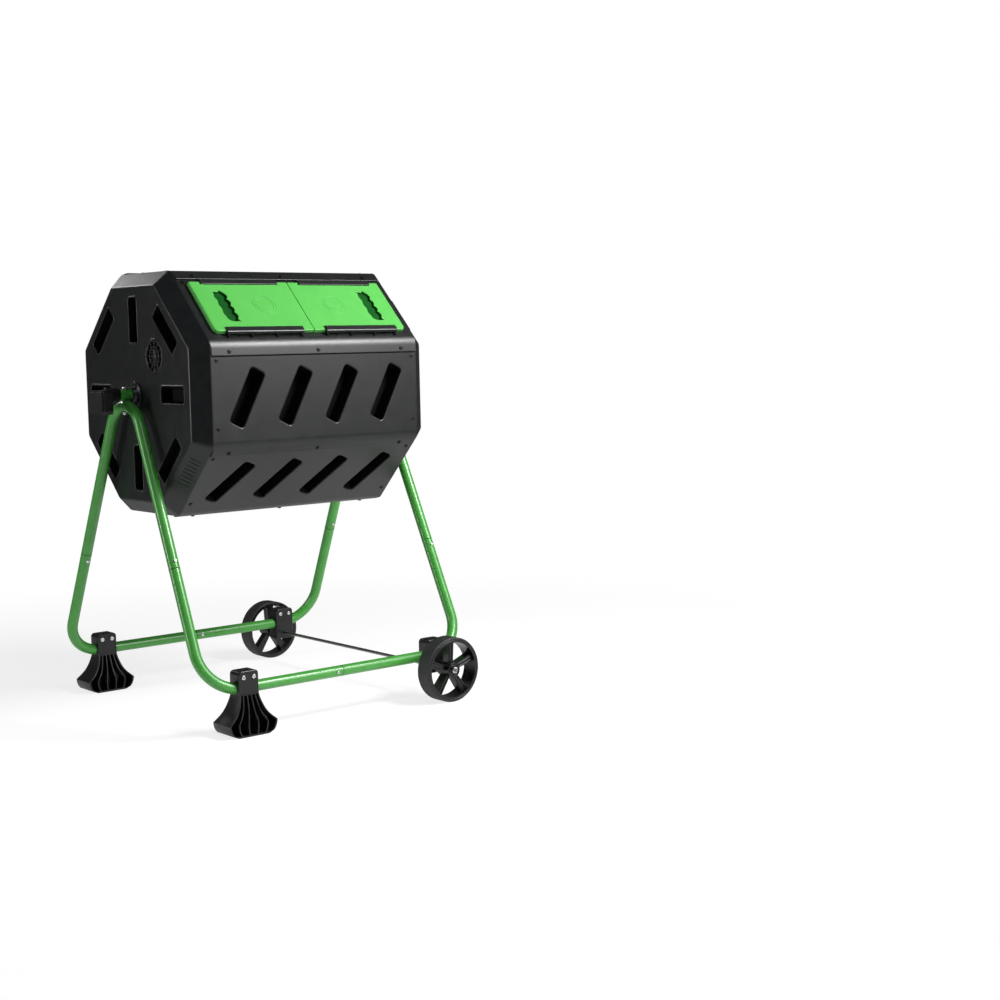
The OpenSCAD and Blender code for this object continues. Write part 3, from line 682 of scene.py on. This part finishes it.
# ---------------------------------------------------------------- end caps
# In a cap's own frame Z is outwards, X is up and -Y is the door side.
CAP_SLOPE = math.atan2(FACE_X - CAP_RIM_X, CAP_RIM_HALF - CAP_FACE_HALF)


def cap_place(side):
    stand = Matrix(((0, 0, -1, 0), (0, 1, 0, 0), (1, 0, 0, AXLE_Z), (0, 0, 0, 1)))
    return end_place(side) @ stand


def cap_bevel_point(k, t, share):
    """A point, its outward direction and the way down the slope, on bevel k of an end cap."""
    a = math.radians(-45 * k)
    radial, across = Vector((math.cos(a), math.sin(a), 0)), Vector((-math.sin(a), math.cos(a), 0))
    down = (math.cos(CAP_SLOPE) * radial - Vector((0, 0, math.sin(CAP_SLOPE)))).normalized()
    out = (math.sin(CAP_SLOPE) * radial + Vector((0, 0, math.cos(CAP_SLOPE)))).normalized()
    reach = CAP_FACE_HALF + share * (CAP_RIM_HALF - CAP_FACE_HALF)
    height = FACE_X - share * (FACE_X - CAP_RIM_X)
    return reach * radial + t * across + Vector((0, 0, height)), out, down


def end_cap(side, name):
    bm = bmesh.new()

    def octagon(half, radius, z):
        return ring(bm, [(x, y, z) for x, y in eight_sided(half, radius)])

    rows = []
    r, back = 0.009, 0.009 * math.tan(CAP_SLOPE / 2)
    for i in range(7):
        a = CAP_SLOPE * i / 6
        rows.append(octagon(CAP_FACE_HALF - back + r * math.sin(a), 0.012 + 0.001 * i / 6,
                            FACE_X - r + r * math.cos(a)))
    r = 0.0035
    back = r * math.tan(math.pi / 4 - CAP_SLOPE / 2)
    for i in range(5):
        a = CAP_SLOPE + (math.pi / 2 - CAP_SLOPE) * i / 4
        rows.append(octagon(CAP_RIM_HALF - r + r * math.sin(a), 0.017,
                            CAP_RIM_X - back + r * math.cos(a)))
    for half, z in ((CAP_RIM_HALF, HALF_LEN + 0.0002), (0.2738, HALF_LEN + 0.0002), (0.2738, 0.254)):
        rows.append(octagon(half, 0.017, z))
    skin(bm, rows)
    holes = []
    for k in range(4):
        a = math.radians(90 * k)
        at = (0.169 * math.cos(a), 0.169 * math.sin(a))
        holes.append(pocket_rings(bm, at, a, 0.037, 0.102, 0.006, FACE_X, SLOT_DEPTH, 0.0016, 0.0010))
        a += math.radians(45)
        at = (0.206 * math.cos(a), 0.206 * math.sin(a))
        holes.append(pocket_rings(bm, at, a, 0.118, 0.037, 0.006, FACE_X, SLOT_DEPTH, 0.0016, 0.0010))
    for x, y, r in ((VENT_UP, -VENT_SIDE, 0.0372), (0, 0, 0.0174)):
        turns = [2 * math.pi * i / 48 for i in range(48)]
        holes.append(ring(bm, [(x + r * math.cos(a), y + r * math.sin(a), FACE_X) for a in turns]))
    flat_with_holes(bm, rows[0], holes)
    # finish slot 1 is the painted shade inside the slots
    obj = walled("skin_" + name, bm, (cap_plastic, pocket_painted_shade))
    settle(obj, "drum", None, cap_place(side), [name])

    points = []
    for k in (3, 7):
        for i in range(8):
            spot = cap_bevel_point(k, (i - 3.5) * 0.0115 + 0.018, 0.52)
            points.append(stood(cap_place(side), *spot))
    scatter("grip_ribs_" + name, RIBS, points, cap_plastic, "drum", "end_cap_plastic",
            length=0.027, width=0.0034, height=0.0013)


VENT_UP, VENT_SIDE = 0.127 * math.sin(math.radians(43)), 0.127 * math.cos(math.radians(43))
end_cap(-1, "end_cap_left")
end_cap(1, "end_cap_right")


# ---------------------------------------------------------------- hubs and air vents
def vent_insert(side, name):
    """A round screened insert: rolled rim, spoked grille and a domed middle."""
    bm = bmesh.new()
    lathe(bm, [(0.0330, -0.009), (0.0330, -0.002), (0.0334, 0.0012), (0.0345, 0.0020), (0.0385, 0.0020),
               (0.0402, 0.0016), (0.0410, 0.0006), (0.0410, 0.0000), (0.0368, 0.0000), (0.0368, -0.009)],
          72, close=True)
    lathe(bm, [(0.0195, -0.0030), (0.0195, -0.0004), (0.0203, 0.0004), (0.0217, 0.0004),
               (0.0225, -0.0004), (0.0225, -0.0030)], 56, close=True)
    lathe(bm, [(0.0, 0.0016), (0.003, 0.0015), (0.0058, 0.0008), (0.0082, 0.0), (0.0090, -0.0012),
               (0.0090, -0.0030), (0.0, -0.0030)], 40)
    outward(bm)
    obj = from_bmesh(name + "_insert", bm)
    at = Matrix.Translation((VENT_UP, -VENT_SIDE, FACE_X))
    place = cap_place(side) @ at
    settle(obj, "drum", vent_plastic, place, [name])
    spokes, screen = [], []
    for i in range(12):
        a = math.radians(30 * i)
        way = Vector((math.cos(a), math.sin(a), 0))
        spokes.append(stood(place, 0.0207 * way + Vector((0, 0, -0.0018)), UP, way))
    scatter(name + "_spokes", RIBS, spokes, vent_plastic, "drum", "vent_plastic",
            length=0.0262, width=0.0030, height=0.0016)
    for i in range(-7, 8):
        for x, y in ((1, 0), (0, 1)):
            reach = math.sqrt(0.033 ** 2 - (0.0044 * i) ** 2)
            way = Vector((x, y, 0))
            off = Vector((-y, x, 0)) * 0.0044 * i
            screen.append((*stood(place, off + Vector((0, 0, -0.0052)), UP, way), reach / 0.033))
    scatter(name + "_screen", RIBS, screen, vent_plastic, "drum", "vent_plastic",
            length=0.066, width=0.0011, height=0.0006)


vent_insert(-1, "vent_left")
vent_insert(1, "vent_right")


def hub_bush(side, name):
    bm = bmesh.new()
    lathe(bm, [(0.01276, -0.022), (0.01276, 0.0128), (0.0134, 0.0136), (0.0160, 0.0136), (0.0170, 0.0126),
               (0.0170, 0.0052), (0.0176, 0.0042), (0.0285, 0.0042), (0.0297, 0.0034), (0.0300, 0.0024),
               (0.0300, 0.0001), (0.0172, 0.0001), (0.0172, -0.003), (0.0170, -0.0032), (0.0170, -0.022)],
          64, close=True)
    outward(bm)
    obj = from_bmesh(name + "_bush", bm)
    place = cap_place(side) @ Matrix.Translation((0, 0, FACE_X))
    settle(obj, "drum", hub_plastic, place, [name])
    points = []
    for i in range(10):
        a = math.radians(36 * i)
        way = Vector((math.cos(a), math.sin(a), 0))
        points.append(stood(place, 0.0235 * way + Vector((0, 0, 0.0042)), UP, way))
    scatter(name + "_dimples", FASTENERS, points, hub_plastic, "drum", "hub_plastic",
            sides=16, radius=0.0042, height=0.0009, crown=0.85, drive=0.75, drive_depth=0.0016)


hub_bush(-1, "hub_left")
hub_bush(1, "hub_right")


# ---------------------------------------------------------------- doors and rails
def corner_loop(x0, x1, y0, y1, radii, steps=6):
    """Points round a box, anticlockwise from the upper right, each corner with its own radius."""
    points = []
    corners = (((x1, y1), (-1, -1), 0), ((x0, y1), (1, -1), 90),
               ((x0, y0), (1, 1), 180), ((x1, y0), (-1, 1), 270))
    for ((x, y), (sx, sy), a0), r in zip(corners, radii):
        for i in range(steps + 1):
            a = math.radians(a0 + 90 * i / steps)
            points.append((x + sx * r + r * math.cos(a), y + sy * r + r * math.sin(a)))
    return points


def grip_outline():
    """Finger recess: wavy on its right, nearly straight on its left, with pointed ends."""
    points = []
    for i in range(41):
        v = i / 40
        swell = abs(math.sin(4 * math.pi * v)) ** 0.8
        points.append((0.0118 + 0.0050 * swell - 0.0010 * v, -0.041 + 0.083 * v))
    points += [(0.0060, 0.0475), (0.0048, 0.0520), (0.0010, 0.0462), (-0.0030, 0.0440), (-0.0080, 0.0452),
               (-0.0185, 0.0480)]
    for i in range(21):
        v = 1 - i / 20
        points.append((-0.0152 + 0.0014 * math.cos(6 * math.pi * v), -0.036 + 0.078 * v))
    points += [(-0.0132, -0.0420), (-0.0090, -0.0468), (-0.0030, -0.0495), (0.0030, -0.0500),
               (0.0090, -0.0488), (0.0168, -0.0505), (0.0130, -0.0450)]
    return points


def door(side, name):
    """A sliding lid with a sloping outer end, rounded edges and a finger recess."""
    bm = bmesh.new()
    low, high = -0.079 - DOOR_MID, 0.079 - DOOR_MID

    def level(inset, outer_inset, z):
        x0, x1 = 0.0005 + inset, DOOR_OUT - max(inset, outer_inset)
        radii = [0.0035, 0.0020, 0.0020, 0.0110]
        if side < 0:
            x0, x1 = -x1, -x0
            radii = [0.0020, 0.0035, 0.0110, 0.0020]
        return ring(bm, [(x, y, z) for x, y in corner_loop(x0, x1, low + inset, high - inset, radii)])

    rows = [level(0.0008, 0.0008, DOOR_BOTTOM), level(0, 0, DOOR_BOTTOM + 0.0008),
            level(0, 0, DOOR_TOP - 0.0058)]
    for i in range(5):
        a = math.radians(90 * i / 4)
        inset = 0.0016 * (1 - math.cos(a))
        rows.append(level(inset, 0.0048 * (0.35 + 0.65 * i / 4),
                          DOOR_TOP - 0.0016 * (1 - math.sin(a))))
    skin(bm, rows)
    bm.faces.new(rows[0])
    at = Vector((side * 0.1975, -DOOR_MID + 0.001))
    wave = grip_outline()

    def grip_level(grow, z):
        sx, sy = 1 + grow / 0.014, 1 + grow / 0.048
        return ring(bm, [(at.x + x * sx, at.y + y * sy, z) for x, y in wave])

    grip = [grip_level(0.0012, DOOR_TOP), grip_level(0.0004, DOOR_TOP - 0.0004),
            grip_level(0.0, DOOR_TOP - 0.0012)]
    well = [grip[-1], grip_level(-0.0008, DOOR_TOP - 0.0052), grip_level(-0.0016, DOOR_TOP - 0.0062),
            grip_level(-0.0030, DOOR_TOP - 0.0065)]
    skin(bm, grip)
    # the recess's lower walls and floor take finish slot 1, the dark green painted shade
    dark = skin(bm, well)
    dark.append(bm.faces.new(well[-1]))
    for f in dark:
        f.material_index = 1
    flat_with_holes(bm, rows[-1], [grip[0]])
    outward(bm)
    obj = from_bmesh("lid_" + name, bm)
    obj.data.materials.append(door_plastic)
    obj.data.materials.append(grip_painted_shade)
    weighted(obj)
    settle(obj, name, None, side_place(1), [name])


door(-1, "door_left")
door(1, "door_right")
for side, name in ((-1, "door_left"), (1, "door_right")):
    bm = bmesh.new()
    for r in (0.0290, 0.0225):
        lathe(bm, [(r - 0.0010, -0.0004), (r - 0.0008, 0.00028), (r, 0.0004), (r + 0.0008, 0.00028),
                   (r + 0.0010, -0.0004)], 72, close=True)
    outward(bm)
    at = Matrix.Translation((side * 0.095, -DOOR_MID + 0.004, DOOR_TOP))
    settle(from_bmesh("ring_" + name, bm), name, door_plastic, side_place(1) @ at)


def rail(edge, name):
    """Two lengths of hooked rail; edge is -1 next to the front panel and 1 next to the top."""
    bm = bmesh.new()
    web = 0.0795
    up, lip = 0.0140, 0.0135
    shape = [(-0.0022, 0.0052), (-0.0028, 0.0058), (-0.0028, up - 0.0022), (-0.0022, up - 0.0008),
             (-0.0006, up), (lip - 0.0010, up),
             (lip - 0.0002, up - 0.0006), (lip, up - 0.0014), (lip, up - 0.0024),
             (lip - 0.0006, up - 0.0030),
             (0.0036, up - 0.0030), (0.0030, up - 0.0036), (0.0030, 0.0052)]
    for s in (-1, 1):
        sections = []
        for x, shrink in ((-0.101, 0.0008), (-0.1002, 0.0), (0.1002, 0.0), (0.101, 0.0008)):
            row = []
            for across, z in shape:
                y = -DOOR_MID + edge * (web + 0.003 - across)
                row.append((s * RAIL_MID + x, y, PLATE_OUT + z * (1 - shrink * 30)))
            sections.append(ring(bm, row))
        skin(bm, sections, smooth=False)
        bm.faces.new(sections[0])
        bm.faces.new(sections[-1])
    outward(bm)
    obj = from_bmesh(name + "_hook", bm)
    settle(obj, "drum", rail_plastic, side_place(1), [name])
    points = []
    for x in (0.035, 0.101, 0.168, 0.228):
        for s in (-1, 1):
            at = (s * x, -DOOR_MID + edge * (web + 0.0050), PLATE_OUT + 0.0004)
            points.append(stood(side_place(1), at, UP, (0, edge, 0)))
    scatter(name + "_gussets", RIBS, points, rail_plastic, "drum", "rail_plastic",
            length=0.0140, width=0.0070, height=0.0064, taper=0.8)


rail(-1, "rail_lower")
rail(1, "rail_upper")


# ---------------------------------------------------------------- screws and bolts
def side_points(k, places):
    return [stood(side_place(k), p, UP, ALONG) for p in places]


screws = []
for k in range(8):
    screws += side_points(k, [(x, HALF_SIDE - FLANGE_SCREW_IN, FLANGE_OUT)
                              for x in (-FLANGE_SCREW_X, 0, FLANGE_SCREW_X)])
    # like the CAD, the door side has no lower pair
    rows = (END_SCREW_Y,) if k == 1 else (-END_SCREW_Y, END_SCREW_Y)
    screws += side_points(k, [(x, y, PLATE_OUT) for x in (-END_SCREW_X, END_SCREW_X) for y in rows])
scatter("screw_heads", FASTENERS, screws, black_screw, "drum", "black_screw",
        ["panel_screws"], sides=20, radius=0.0044, height=0.0018, crown=0.66, drive=0.42,
        drive_depth=0.0009)
places = [(s * RAIL_MID + i * 0.068, -DOOR_MID + e * 0.0865, PLATE_OUT)
          for s in (-1, 1) for e in (-1, 1) for i in (-1, 1)]
scatter("rail_screw_heads", FASTENERS, side_points(1, places), black_screw, "drum",
        "black_screw", ["rail_screws"], sides=18, radius=0.0034, height=0.0016, crown=0.62,
        drive=0.42, drive_depth=0.0008)

clamp_points = []
for x in (FOOT_X, WHEEL_X):
    for sy in (-1, 1):
        for i in (-1, 1):
            for s in (-1, 1):
                at = (x + i * 0.013, sy * BAR_Y + s * 0.0186, BAR_Z + TUBE_R + 0.0133)
                clamp_points.append((at, (0, s, 0), ALONG))
half = len(clamp_points) // 2
for label, points in (("foot_bolts", clamp_points[:half]), ("bracket_bolts", clamp_points[half:])):
    scatter(label + "_heads", FASTENERS, points, zinc_steel, "frame", "zinc_steel", [label],
            sides=24, radius=0.0050, height=0.0025, crown=0.70, drive=0.62, drive_depth=0.0016)


def bolt_ends(name, points, stands_for, **sizes):
    scatter(name, FASTENERS, points, zinc_steel, "frame", "zinc_steel", stands_for, **sizes)


# ---------------------------------------------------------------- softened moulded parts
def clamp_block(name, x, sy, low):
    """The rounded block that grips a floor bar, soft on all its edges."""
    bm = bmesh.new()
    half_x, half_y, top_radius = 0.0255, 0.0185, 0.0085
    rows = []
    for y, inset in ((-half_y, 0.0016), (-half_y + 0.0005, 0.0005), (-half_y + 0.0016, 0),
                     (half_y - 0.0016, 0), (half_y - 0.0005, 0.0005), (half_y, 0.0016)):
        loop = corner_loop(x - half_x + inset, x + half_x - inset, low + inset, CLAMP_TOP - inset,
                           [top_radius, top_radius, 0.002, 0.002])
        rows.append(ring(bm, [(px, sy * BAR_Y + y, pz) for px, pz in loop]))
    skin(bm, rows)
    bm.faces.new(rows[0])
    bm.faces.new(rows[-1])
    outward(bm)
    obj = from_bmesh(name, bm)
    return settle(weighted(obj), "frame", foot_plastic)


def foot_bell(name, sy):
    """The ribbed bell under a clamp block, from the CAD node's own lower part."""
    bm = bmesh.new()
    bm.from_mesh(nodes[name].data)
    bmesh.ops.remove_doubles(bm, verts=bm.verts, dist=2e-6)
    bmesh.ops.bisect_plane(bm, geom=bm.verts[:] + bm.edges[:] + bm.faces[:],
                           plane_co=(0, 0, BELL_TOP), plane_no=(0, 0, 1), clear_outer=True)
    bmesh.ops.dissolve_limit(bm, angle_limit=math.radians(0.6), verts=bm.verts, edges=bm.edges)
    obj = from_bmesh("bell_" + name, bm)
    rounded(obj, 0.0014, 3, 28)
    weighted(obj)
    obj.data.shade_smooth()
    obj.data.set_sharp_from_angle(angle=math.radians(34))
    settle(obj, "frame", foot_plastic, None, [name])
    clamp_block("clamp_" + name, FOOT_X, sy, 0.0925)


def wheel_stand(sy, y):
    """Faces a turned shape outwards along the wheel rod."""
    turn = Matrix.Rotation(-sy * math.pi / 2, 4, "X")
    return Matrix.Translation((WHEEL_X, sy * y, WHEEL_R)) @ turn


def wheel_bracket(name, sy):
    """A clamp block that reaches down to the rod, with a round boss towards the wheel."""
    bm = bmesh.new()
    lathe(bm, [(0.0, 0.0), (0.0120, 0.0), (0.0130, -0.0012), (0.0130, -0.0395), (0.0, -0.0395)], 40)
    outward(bm)
    settle(from_bmesh("boss_" + name, bm), "frame", foot_plastic,
           wheel_stand(sy, 0.371))
    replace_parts(clamp_block("clamp_" + name, WHEEL_X, sy, 0.062), name)


foot_bell("foot_front", -1)
foot_bell("foot_rear", 1)
wheel_bracket("wheel_bracket_front", -1)
wheel_bracket("wheel_bracket_rear", 1)
for name in ("axle_block_left", "axle_block_right"):
    softened(name, "frame", block_plastic, 0.0036, 4)
for side in (-1, 1):
    bm = bmesh.new()
    lathe(bm, [(0.0129, -0.0005), (0.0160, -0.0005), (0.0168, 0.0004), (0.0168, 0.0040), (0.0160, 0.0048),
               (0.0160, 0.0305), (0.0152, 0.0316), (0.0129, 0.0316)], 48, close=True)
    outward(bm)
    collar = from_bmesh("collar_left" if side < 0 else "collar_right", bm)
    stand = Matrix.Translation((-0.393, 0, AXLE_Z)) @ Matrix.Rotation(math.pi / 2, 4, "Y")
    settle(collar, "frame", block_plastic, end_place(side) @ stand)
for name in ("wheel_front", "wheel_rear"):
    obj = softened(name, name, wheel_plastic, 0.0012)
    obj.data.materials.append(tread_plastic)
    sy = -1 if name == "wheel_front" else 1
    for f in obj.data.polygons:
        reach = Vector((f.center.x - WHEEL_X, f.center.z - WHEEL_R)).length
        if reach > WHEEL_R - 0.0025 and abs(f.normal.y) < 0.9:
            f.material_index = 1
    points = []
    face_y = sy * (WHEEL_MID_Y + 0.0110)
    for i in range(5):
        a = math.radians(90 + 72 * i)
        for off in (-0.0040, 0.0040):
            way = Vector((math.cos(a), 0, math.sin(a)))
            side = Vector((-math.sin(a), 0, math.cos(a)))
            at = Vector((WHEEL_X, face_y, WHEEL_R)) + 0.0420 * way + off * side
            points.append((at, (0, sy, 0), way))
    bm = bmesh.new()
    for r, h in ((0.0165, 0.0009), (0.0118, 0.0016)):
        lathe(bm, [(r - 0.0016, -0.0006), (r - 0.0012, h), (r + 0.0006, h), (r + 0.0012, h - 0.0005),
                   (r + 0.0016, -0.0006)], 48, close=True)
    r = RIM_RING_R
    lathe(bm, [(r - 0.0016, -0.0006), (r - 0.0010, 0.0008), (r + 0.0010, 0.0008),
               (r + 0.0016, -0.0006)], 96, close=True)
    outward(bm)
    settle(from_bmesh(name + "_rings", bm), name, wheel_plastic,
           wheel_stand(sy, 0.4145))
    scatter(name + "_spoke_ridges", RIBS, points, wheel_plastic, name, "wheel_plastic",
            length=0.046, width=0.0030, height=0.0022, taper=1.25)


# ---------------------------------------------------------------- tube joints
def joint_ring(name, at, way):
    """A thin dark green ring of painted shade where one tube slides into the next."""
    bm = bmesh.new()
    r = TUBE_R + 0.0001
    lathe(bm, [(r - 0.0006, -0.0009), (r, -0.0007), (r + 0.0002, 0.0), (r, 0.0007),
               (r - 0.0006, 0.0009)], 48, close=True)
    outward(bm)
    obj = from_bmesh(name, bm)
    turn = Vector(way).to_track_quat("Z", "Y").to_matrix().to_4x4()
    settle(obj, "frame", tube_joint_painted_shade, Matrix.Translation(at) @ turn)


SEAM = Vector((0.35238, 0.21118, 0.36353))
seam_no = 0
bolt_heads, bolt_tails = [], []
for sx in (-1, 1):
    for sy in (-1, 1):
        at = Vector((sx * SEAM.x, sy * SEAM.y, SEAM.z))
        way = Vector((sx * 0.01634, sy * 0.331, -0.7197)).normalized()
        joint_ring("joint_shade_%d" % seam_no, at, way)
        seam_no += 1
        at = at + way * (-0.016 if sx * sy > 0 else 0.016)
        head = Vector((0, way.z, -way.y)).normalized()
        bolt_heads.append((at + head * (TUBE_R - 0.0004), head, way))
        bolt_tails.append((at - head * (TUBE_R - 0.0004), -head, way))
for sy in (-1, 1):
    joint_ring("joint_shade_%d" % seam_no, (0, sy * BAR_Y, BAR_Z), (1, 0, 0))
    seam_no += 1
    at = Vector((sy * 0.016, sy * BAR_Y, BAR_Z))
    bolt_heads.append((at - Vector((0, TUBE_R - 0.0004, 0)), (0, -1, 0), (1, 0, 0)))
    bolt_tails.append((at + Vector((0, TUBE_R - 0.0004, 0)), (0, 1, 0), (1, 0, 0)))
bolt_ends("tube_bolt_heads", bolt_heads, ["tube_bolts"], sides=20, radius=0.0038, height=0.0030,
          crown=0.66, drive=0.45, drive_depth=0.0011)
bolt_ends("tube_bolt_nuts", bolt_tails, [], sides=6, radius=0.0046, height=0.0038, crown=0.86,
          drive=0.62, drive_depth=-0.0012)
bolt_ends("wheel_nut_hexes",
          [((WHEEL_X, sy * 0.4160, WHEEL_R), (0, sy, 0), ALONG) for sy in (-1, 1)],
          ["wheel_nuts"], sides=6, radius=0.0086, height=0.0055, crown=0.86, drive=0.66,
          drive_depth=0.0020)
for name in ("axle_bolts", "axle_nuts"):
    softened(name, "frame", zinc_steel, 0.0006, 2)


# ---------------------------------------------------------------- camera, floor and light
def aim(obj, eye, target, roll=0.0):
    forward = (Vector(target) - Vector(eye)).normalized()
    turn = forward.to_track_quat("-Z", "Y").to_matrix().to_4x4()
    obj.matrix_world = Matrix.Translation(eye) @ turn @ Matrix.Rotation(roll, 4, "Z")


lens = bpy.data.cameras.new("camera")
lens.lens = 58.95
lens.sensor_width = 36
lens.clip_end = 60
camera = bpy.data.objects.new("camera", lens)
bpy.context.scene.collection.objects.link(camera)
aim(camera, (-2.1228, -3.4013, 0.8507), (0.7728, 0.0, 0.4167), -0.0197)
bpy.context.scene.camera = camera

floor_mesh = bpy.data.meshes.new("floor")
floor_mesh.from_pydata([(-40, -40, 0), (40, -40, 0), (40, 40, 0), (-40, 40, 0)], [], [(0, 1, 2, 3)])
floor = link("floor", floor_mesh)
paper, tree, shader, where = new_finish("paper")
shader.inputs["Base Color"].default_value = (0.62, 0.62, 0.62, 1)
shader.inputs["Roughness"].default_value = 0.9
shader.inputs["Specular IOR Level"].default_value = 0.0
reach = add(tree, "ShaderNodeVectorMath", {0: where}, operation="LENGTH").outputs["Value"]
direct = add(tree, "ShaderNodeBsdfDiffuse", {"Color": (0.30, 0.30, 0.30, 1)})
glow = add(tree, "ShaderNodeEmission", {"Color": (1, 1, 1, 1), "Strength": FLOOR_GLOW})
near = add(tree, "ShaderNodeAddShader", {0: direct.outputs[0], 1: glow.outputs[0]})
far = add(tree, "ShaderNodeEmission", {"Color": (1, 1, 1, 1), "Strength": 1.0})
fade = add(tree, "ShaderNodeMapRange", {"Value": reach, "From Min": 0.75, "From Max": 2.2},
           interpolation_type="SMOOTHSTEP")
bounce = add(tree, "ShaderNodeMapRange", {"Value": reach, "From Min": 0.5, "From Max": 1.6,
                                          "To Min": 0.38, "To Max": 0.0})
tree.links.new(bounce.outputs[0], shader.inputs["Emission Strength"])
shader.inputs["Emission Color"].default_value = (1, 1, 1, 1)
seen = add(tree, "ShaderNodeMixShader", {0: fade.outputs[0], 1: near.outputs[0], 2: far.outputs[0]})
path = add(tree, "ShaderNodeLightPath")
either = add(tree, "ShaderNodeMixShader",
             {0: path.outputs["Is Camera Ray"], 1: shader.outputs[0], 2: seen.outputs[0]})
tree.links.new(either.outputs[0], tree.nodes["Material Output"].inputs["Surface"])
floor_mesh.materials.append(paper)


def softbox(name, eye, target, size, power, opening=math.pi):
    lamp = bpy.data.lights.new(name, "AREA")
    lamp.shape = "RECTANGLE"
    lamp.size, lamp.size_y = size
    lamp.energy = power
    lamp.spread = opening
    obj = bpy.data.objects.new(name, lamp)
    bpy.context.scene.collection.objects.link(obj)
    aim(obj, eye, target)


softbox("key", (1.10, -1.65, 2.05), (0, -0.25, 0.80), (0.9, 0.7), 66)
softbox("front", (1.15, -2.30, 1.36), (0, -0.25, 0.80), (1.1, 1.0), 19)
softbox("upper_left", (-0.6, -1.9, 2.7), (0.1, 0, 0.4), (0.9, 0.9), 7)
softbox("back", (-0.5, 3.0, 2.35), (-0.30, 0, 0.97), (1.2, 0.6), 0.5, math.radians(24))
softbox("left_strip", (-2.6, 0.80, 1.0), (-0.3, 0, 0.6), (0.34, 1.5), 24)

world = bpy.data.worlds.new("studio")
bpy.context.scene.world = world
world.use_nodes = True
tree = world.node_tree
back = tree.nodes["Background"]
sky = add(tree, "ShaderNodeTexCoord").outputs["Generated"]
height = add(tree, "ShaderNodeSeparateXYZ", {0: sky}).outputs["Z"]
lift = add(tree, "ShaderNodeMapRange", {"Value": height, "From Min": 0.0, "From Max": 0.8,
                                        "To Min": 0.06, "To Max": 0.10})
tree.links.new(lift.outputs[0], back.inputs["Strength"])
back.inputs["Color"].default_value = (0.97, 0.98, 1, 1)
white = add(tree, "ShaderNodeBackground", {"Color": (1, 1, 1, 1), "Strength": 1.0})
path = add(tree, "ShaderNodeLightPath")
mix = add(tree, "ShaderNodeMixShader",
          {0: path.outputs["Is Camera Ray"], 1: back.outputs[0], 2: white.outputs[0]})
tree.links.new(mix.outputs[0], tree.nodes["World Output"].inputs["Surface"])
bpy.context.scene.view_settings.view_transform = "Standard"
